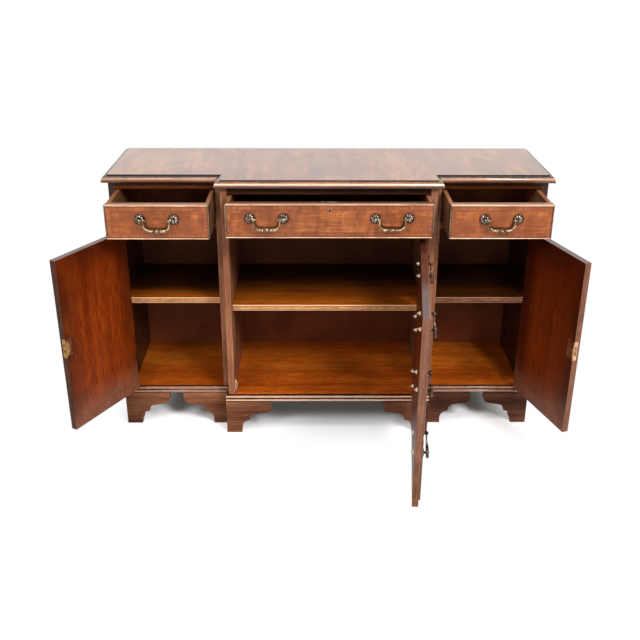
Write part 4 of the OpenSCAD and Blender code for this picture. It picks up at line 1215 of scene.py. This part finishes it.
print("castings are skinned over rings")

# %% [markdown]
# A swan-neck handle has two flower rosettes, each with a post that ends in an eye, and a bail
# that swings in the two eyes. All handles share one small frame: x runs along the pivot, y goes
# into the wood, z is up, and the origin is on the pivot, midway between the posts. Each bail's
# joint says where that frame stands in the room.

# %% Where each handle stands
PIVOT_OUT = 16 * MM
POST_X = 49 * MM

handles = {joint["child"]: joint for joint in frame["joints"] if joint["child"].endswith("_bail")}


def handle_place(joint):
    """The matrix from a handle's own frame to the room."""
    along = -Vector(joint["axis"])
    up = Vector((0, 0, 1))
    turn = Matrix((along, up.cross(along), up)).transposed().to_4x4()
    return Matrix.Translation(joint["pos_m"]) @ turn


def handle_brass(body, drawer_metal):
    """The door's low handles take the darker brass, as painted shade."""
    return shaded_brass if body == "centre_door" else drawer_metal


print(len(handles), "handles, on", sorted({joint["parent"] for joint in handles.values()}))

# %% [markdown]
# The rosette is a round flower of eight petals that swirl a little, as if it had just opened. Its
# surface is a height over the wood for each angle and each distance from the middle: petals
# swell between the heart and the rim and dip where two of them meet. The dips hold the oldest
# grime. From its heart the post rises, with a collar, to a ball that is flattened on two sides
# and takes the end of the bail.

# %% Rosettes and posts
ROSETTE_R = 14 * MM
PETALS = 8
SWIRL = 1.1
EYE_R, EYE_FLAT = 6 * MM, 5.2 * MM
BOLT_R = 2.4 * MM
NUT_R, NUT_H, TAIL = 5.5 * MM, 4 * MM, 5 * MM
ROUND = 64
FLOWER = (
    (1.0, 0.0), (1.0, 1.6), (0.95, 3.6), (0.86, 5.6),
    (0.74, 7.0), (0.62, 7.6), (0.5, 7.4), (0.4, 6.4),
)
STEM = ((6.6, 4.6, 0.9), (8.2, 3.6, 0.9), (10.6, 3.6, 0.8))


def petal(angle, share):
    """1 on the back of a petal and 0 between two, at a share of the radius."""
    return abs(math.cos(PETALS / 2 * (angle + SWIRL * share)))


def rosette_ring(share, lift, middle_x):
    """One ring of the flower, at a share of its radius. lift is how high its petals rise there."""
    ring = []
    for i in range(ROUND):
        angle = 2 * math.pi * i / ROUND
        crest = petal(angle, share)
        radius = ROSETTE_R * share * (1 - 0.13 * share ** 3 * (1 - crest))
        height = lift * (0.45 + 0.55 * crest ** 0.7)
        point = (middle_x + radius * math.cos(angle), PIVOT_OUT - height, radius * math.sin(angle))
        hollow = 1.5 * (1 - crest) + max(0, 0.45 - share) * 1.2
        ring.append((point, min(1.0, hollow)))
    return ring


def post_ring(y, radius, recess, middle_x, groove=0.0):
    """One ring of the post, flattened left and right. A groove carries the petals on over it."""
    ring = []
    for i in range(ROUND):
        angle = 2 * math.pi * i / ROUND
        valley = groove * (1 - petal(angle, radius / ROSETTE_R))
        wide = radius * (1 - 0.14 * valley)
        x = max(-EYE_FLAT, min(EYE_FLAT, wide * math.cos(angle)))
        ring.append(((middle_x + x, y, wide * math.sin(angle)), min(1.0, recess + 1.5 * valley)))
    return ring


def add_post(casting, middle_x):
    """A rosette with its post and its eye, as one casting."""
    rings = [rosette_ring(share, lift * MM, middle_x) for share, lift in FLOWER]
    for out, radius, recess in STEM:
        rings.append(post_ring(PIVOT_OUT - out * MM, radius * MM, recess, middle_x))
    for step in range(9):
        angle = math.radians(-50 + step * 17)
        y, radius = -EYE_R * math.sin(angle), EYE_R * math.cos(angle)
        rings.append(post_ring(y, radius, 0.5 if step < 2 else 0.0, middle_x, 1.0))
    casting.skin(rings)


def add_nut(casting, middle_x, board):
    """The bolt's end: a hexagonal nut with a domed top, and the threaded tail in it."""
    back = PIVOT_OUT + board
    stations = [(back - 1 * MM, BOLT_R, 0), (back + NUT_H, BOLT_R, 0.6)]
    pitch = 0.7 * MM
    for turn in range(int((TAIL - 0.6 * MM) / pitch)):
        along = back + NUT_H + turn * pitch
        stations.append((along + 0.25 * pitch, BOLT_R, 0.1))
        stations.append((along + 0.75 * pitch, BOLT_R * 0.88, 0.5))
    end = back + NUT_H + TAIL
    stations += [(end - 0.8 * MM, BOLT_R, 0.0), (end, BOLT_R * 0.5, 0.0)]
    casting.turned(stations, (middle_x, 0, 0))
    rings = []
    for up, most in ((0, 0.95), (0.4, 1.0), (2.4, 1.0), (3.0, 0.92), (3.6, 0.78), (4.0, 0.56)):
        ring = []
        for i in range(24):
            angle = 2 * math.pi * i / 24
            flat = math.cos(math.pi / 6) / math.cos(angle % (math.pi / 3) - math.pi / 6)
            radius = NUT_R * min(flat, most)
            point = (middle_x + radius * math.cos(angle), back + up * MM, radius * math.sin(angle))
            ring.append((point, 0.0))
        rings.append(ring)
    casting.skin(rings)


def board_behind(node, place):
    """How thick the wood under a node's handles is."""
    back = max((place.inverted() @ v.co).y for v in nodes[node].data.vertices)
    return back - TAIL - NUT_H - PIVOT_OUT


for body in sorted({joint["parent"] for joint in handles.values()}):
    flowers, nuts = Casting(Matrix()), Casting(Matrix())
    for joint in (joint for joint in handles.values() if joint["parent"] == body):
        flowers.place = nuts.place = handle_place(joint)
        board = board_behind(f"{body}_posts", nuts.place)
        for side in (-1, 1):
            add_post(flowers, side * POST_X)
            add_nut(nuts, side * POST_X, board)
    flowers.cast(f"{body}_rosettes", handle_brass(body, brass), "brass", body, f"{body}_posts")
    nuts.cast(f"{body}_nuts", glinting_nut_brass, "bright_brass", body, f"{body}_posts")
    print(f"{body}: rosettes, posts and nuts")

# %% [markdown]
# The bail is a bent and turned rod. It leaves the eye as a thin peg, bends down into a slim arm,
# sweeps round a wide corner and swells twice along the grip, on both sides of a bead with a
# collar. A short turned spur points inwards where the peg bends down. Fingers have kept the
# swellings bright, and the necks between them are dark.

# %% Bails
PEG_END = POST_X + EYE_FLAT
HOOK_X, HOOK_R = 43.5 * MM, 6 * MM
CORNER_R, DROP = 18 * MM, 30 * MM
ARM_X = HOOK_X - HOOK_R
GRIP_X = ARM_X - CORNER_R
BOW = 3 * MM
ARM_R, SWELL_R = 2.2 * MM, 4.4 * MM
GRIP = (
    (18.2, 4.4, 0.0), (16.6, 4.1, 0.0), (15.2, 3.1, 0.5), (14.7, 2.9, 0.8),
    (14.2, 3.9, 0.1), (12.6, 4.4, 0.0), (10.8, 4.0, 0.0), (9.4, 2.7, 0.9),
    (8.7, 2.7, 0.9), (8.2, 3.7, 0.1), (7.2, 3.7, 0.1), (6.7, 2.8, 0.9),
    (5.8, 2.9, 0.9), (5.0, 3.8, 0.3), (3.4, 4.6, 0.0), (1.6, 5.0, 0.0),
)
SPUR = (
    (44.0, 1.6, 0.3), (42.4, 2.1, 0.3), (40.6, 2.3, 0.1), (39.6, 1.8, 0.7), (38.8, 1.8, 0.7),
    (38.2, 2.7, 0.1), (36.4, 2.9, 0.0), (34.0, 2.5, 0.0), (32.2, 1.8, 0.0), (31.2, 0.9, 0.0),
)


def bail_half():
    """Half a bail, from its peg to its middle, as (x, z, radius, recess)."""
    path = [
        (PEG_END, 0, 1.7 * MM, 0.2),
        (PEG_END - 0.3 * MM, 0, 2 * MM, 0.2),
        (HOOK_X, 0, 2 * MM, 0.6),
    ]
    for step in range(1, 7):
        angle = math.radians(15 * step)
        x, z = HOOK_X - HOOK_R * math.sin(angle), HOOK_R * (math.cos(angle) - 1)
        path.append((x, z, (2 + 0.05 * step) * MM, 0.3))
    for step in range(10):
        angle = math.radians(10 * step)
        x = GRIP_X + CORNER_R * math.cos(angle)
        z = CORNER_R - DROP - CORNER_R * math.sin(angle)
        path.append((x, z, ARM_R + (SWELL_R - ARM_R) * math.sin(angle) ** 2, 0.1))
    return path + [(x * MM, -DROP, radius * MM, recess) for x, radius, recess in GRIP]


def add_bail(casting):
    """The swept rod and its two spurs."""
    half = bail_half()
    path = half + [(-x, z, radius, recess) for x, z, radius, recess in reversed(half)]
    rings = []
    for i, (x, z, radius, recess) in enumerate(path):
        before, after = path[max(0, i - 1)], path[min(len(path) - 1, i + 1)]
        along = Vector((after[0] - before[0], 0, after[1] - before[1])).normalized()
        side = Vector((-along.z, 0, along.x))
        middle = Vector((x, -BOW * (z / DROP) ** 2, z))
        ring = []
        for k in range(20):
            angle = 2 * math.pi * k / 20
            around = math.cos(angle) * side + math.sin(angle) * Vector((0, 1, 0))
            ring.append((middle + radius * around, recess))
        rings.append(ring)
    casting.skin(rings)
    for side in (-1, 1):
        stations = [(side * x * MM, radius * MM, recess) for x, radius, recess in SPUR]
        casting.turned(stations, axis="x", sides=16)


for body, joint in handles.items():
    casting = Casting(handle_place(joint))
    add_bail(casting)
    casting.cast(f"{body}_rod", handle_brass(joint["parent"], bail_brass), "brass", body, body)
print(len(handles), "bails")

# %% [markdown]
# The side doors have cut locks, let into the wood from inside. The left one shows a broad cap
# with two screws, the right one only a narrow strip of it. A brown lacquered case fills the
# pocket in the wood below the cap, and a brass face plate closes the door's edge, with a slot for
# the bolt. Both locks are drawn on the shut door and carried to the open one.

# %% Door locks
LOCK_W, LOCK_H, LOCK_T = 30 * MM, 60 * MM, 12 * MM
CAP_INNER, CAP_T = 24 * MM, 1.4 * MM
FACE_T = 1.6 * MM
SLOT_H, SLOT_T = 14.6 * MM, 5.6 * MM
KEY_IN = 18 * MM
SCREWED_CAP = 12 * MM


def opened(body):
    """The matrix that carries a point of the shut cabinet to where the body stands."""
    angles, shift = shut_pose(body)
    return (Matrix.Translation(shift) @ Matrix.Rotation(angles[2], 4, "Z")).inverted()


def rectangle(x, y, half_y, half_z, recess):
    """A ring of four corners on a plane of constant x."""
    corners = ((-1, -1), (1, -1), (1, 1), (-1, 1))
    return [((x, y + a * half_y, b * half_z), recess) for a, b in corners]


def add_screw(casting, x, y, z):
    """A slotted screw head, that looks towards +y."""
    radius, slot = 2.6 * MM, 0.4 * MM
    casting.turned(((y - 1.2 * MM, radius, 0.9), (y - 0.5 * MM, radius, 0.9)), (x, 0, z), sides=20)
    for side in (-1, 1):
        outline = []
        for step in range(9):
            angle = math.acos(slot / radius) * (step / 4 - 1)
            outline.append((x + side * radius * math.cos(angle), z + radius * math.sin(angle)))
        casting.plate(outline, y - 0.6 * MM, y + 0.15 * MM, 0.1 * MM)


def keyhole_ring(y, grow, recess):
    """The outline of a keyhole, a round eye over a slot, grown by some wall."""
    eye, half, foot = 3 * MM + grow, 1.5 * MM + grow, -8 * MM - grow
    start = math.asin(half / eye)
    outline = [(-half, foot), (half, foot)]
    for step in range(13):
        angle = start + step * (2 * math.pi - 2 * start) / 12
        outline.append((eye * math.sin(angle), -eye * math.cos(angle)))
    return [((x, y, z), recess) for x, z in outline]


def door_lock(side, inward, cap_w, metal):
    """A cut lock. inward is +1 or -1: where the door lies, along x, from its free edge."""
    body = f"{side}_door"
    low, high = shut_box(f"{body}_lock", body)
    edge = low.x if inward > 0 else high.x
    origin = Vector((edge, high.y, (low.z + high.z) / 2))
    casting = Casting(opened(body) @ Matrix.Translation(origin))
    half, inner = LOCK_H / 2, CAP_INNER / 2
    near, far, tall = inward * 1.8 * MM, inward * (LOCK_W - 1.8 * MM), half * 0.95
    pocket = Casting(casting.place)
    pocket.plate([(near, -tall), (far, -tall), (far, tall), (near, tall)], -LOCK_T, -1.6 * MM)
    pocket.cast(f"{body}_lock_case", case_brown, "brass", body, f"{body}_lock")
    reach = inward * cap_w
    casting.plate([(0, -half), (reach, -inner), (reach, inner), (0, half)], -CAP_T, 0)
    if cap_w > SCREWED_CAP:
        for share in (-0.62, 0.62):
            add_screw(casting, inward * 6 * MM, 0, share * half)
    middle = -LOCK_T / 2
    casting.skin([
        rectangle(inward * FACE_T, middle, LOCK_T / 2, half, 0),
        rectangle(0, middle, LOCK_T / 2, half, 0),
        rectangle(0, middle, SLOT_T / 2, SLOT_H / 2, 0.7),
        rectangle(inward * FACE_T, middle, SLOT_T / 2, SLOT_H / 2, 1),
    ], loop=True)
    front = low.y - high.y
    casting.place = casting.place @ Matrix.Translation((inward * KEY_IN, front, 0))
    casting.skin([
        keyhole_ring(3 * MM, 1.1 * MM, 0.5), keyhole_ring(0, 1.1 * MM, 0),
        keyhole_ring(0, 0, 0.2), keyhole_ring(3 * MM, 0, 1),
    ], loop=True)
    casting.cast(f"{body}_cut_lock", metal, "brass", body, f"{body}_lock")


door_lock("left", -1, 16 * MM, bright_brass)
door_lock("right", 1, 5 * MM, pale_brass)
print("two cut locks")

# %% [markdown]
# The small fittings keep the carpentry's own shapes and only take a finish: hinges, the wide
# drawer's lock, the bolts, the pegs under the shelves and the spring catch of the centre door.

# %% Small fittings
hinges = ["carcass_hinges", "left_door_hinges", "centre_door_hinges", "right_door_hinges"]
dress(hinges, hinge_brass, 0.2 * MM)
dress(["centre_drawer_lock"], brass, 0.2 * MM)
dress(["door_catch"], glinting_nut_brass, 0.2 * MM)
dress(["shelf_pegs"], steel, 0.3 * MM)
dress(["centre_drawer_bolt", "left_door_bolt", "right_door_bolt"], bright_brass, 0.4 * MM)
print("fittings: hinges, locks, bolts, pegs and a catch")

# %% End
print("finishes laid")
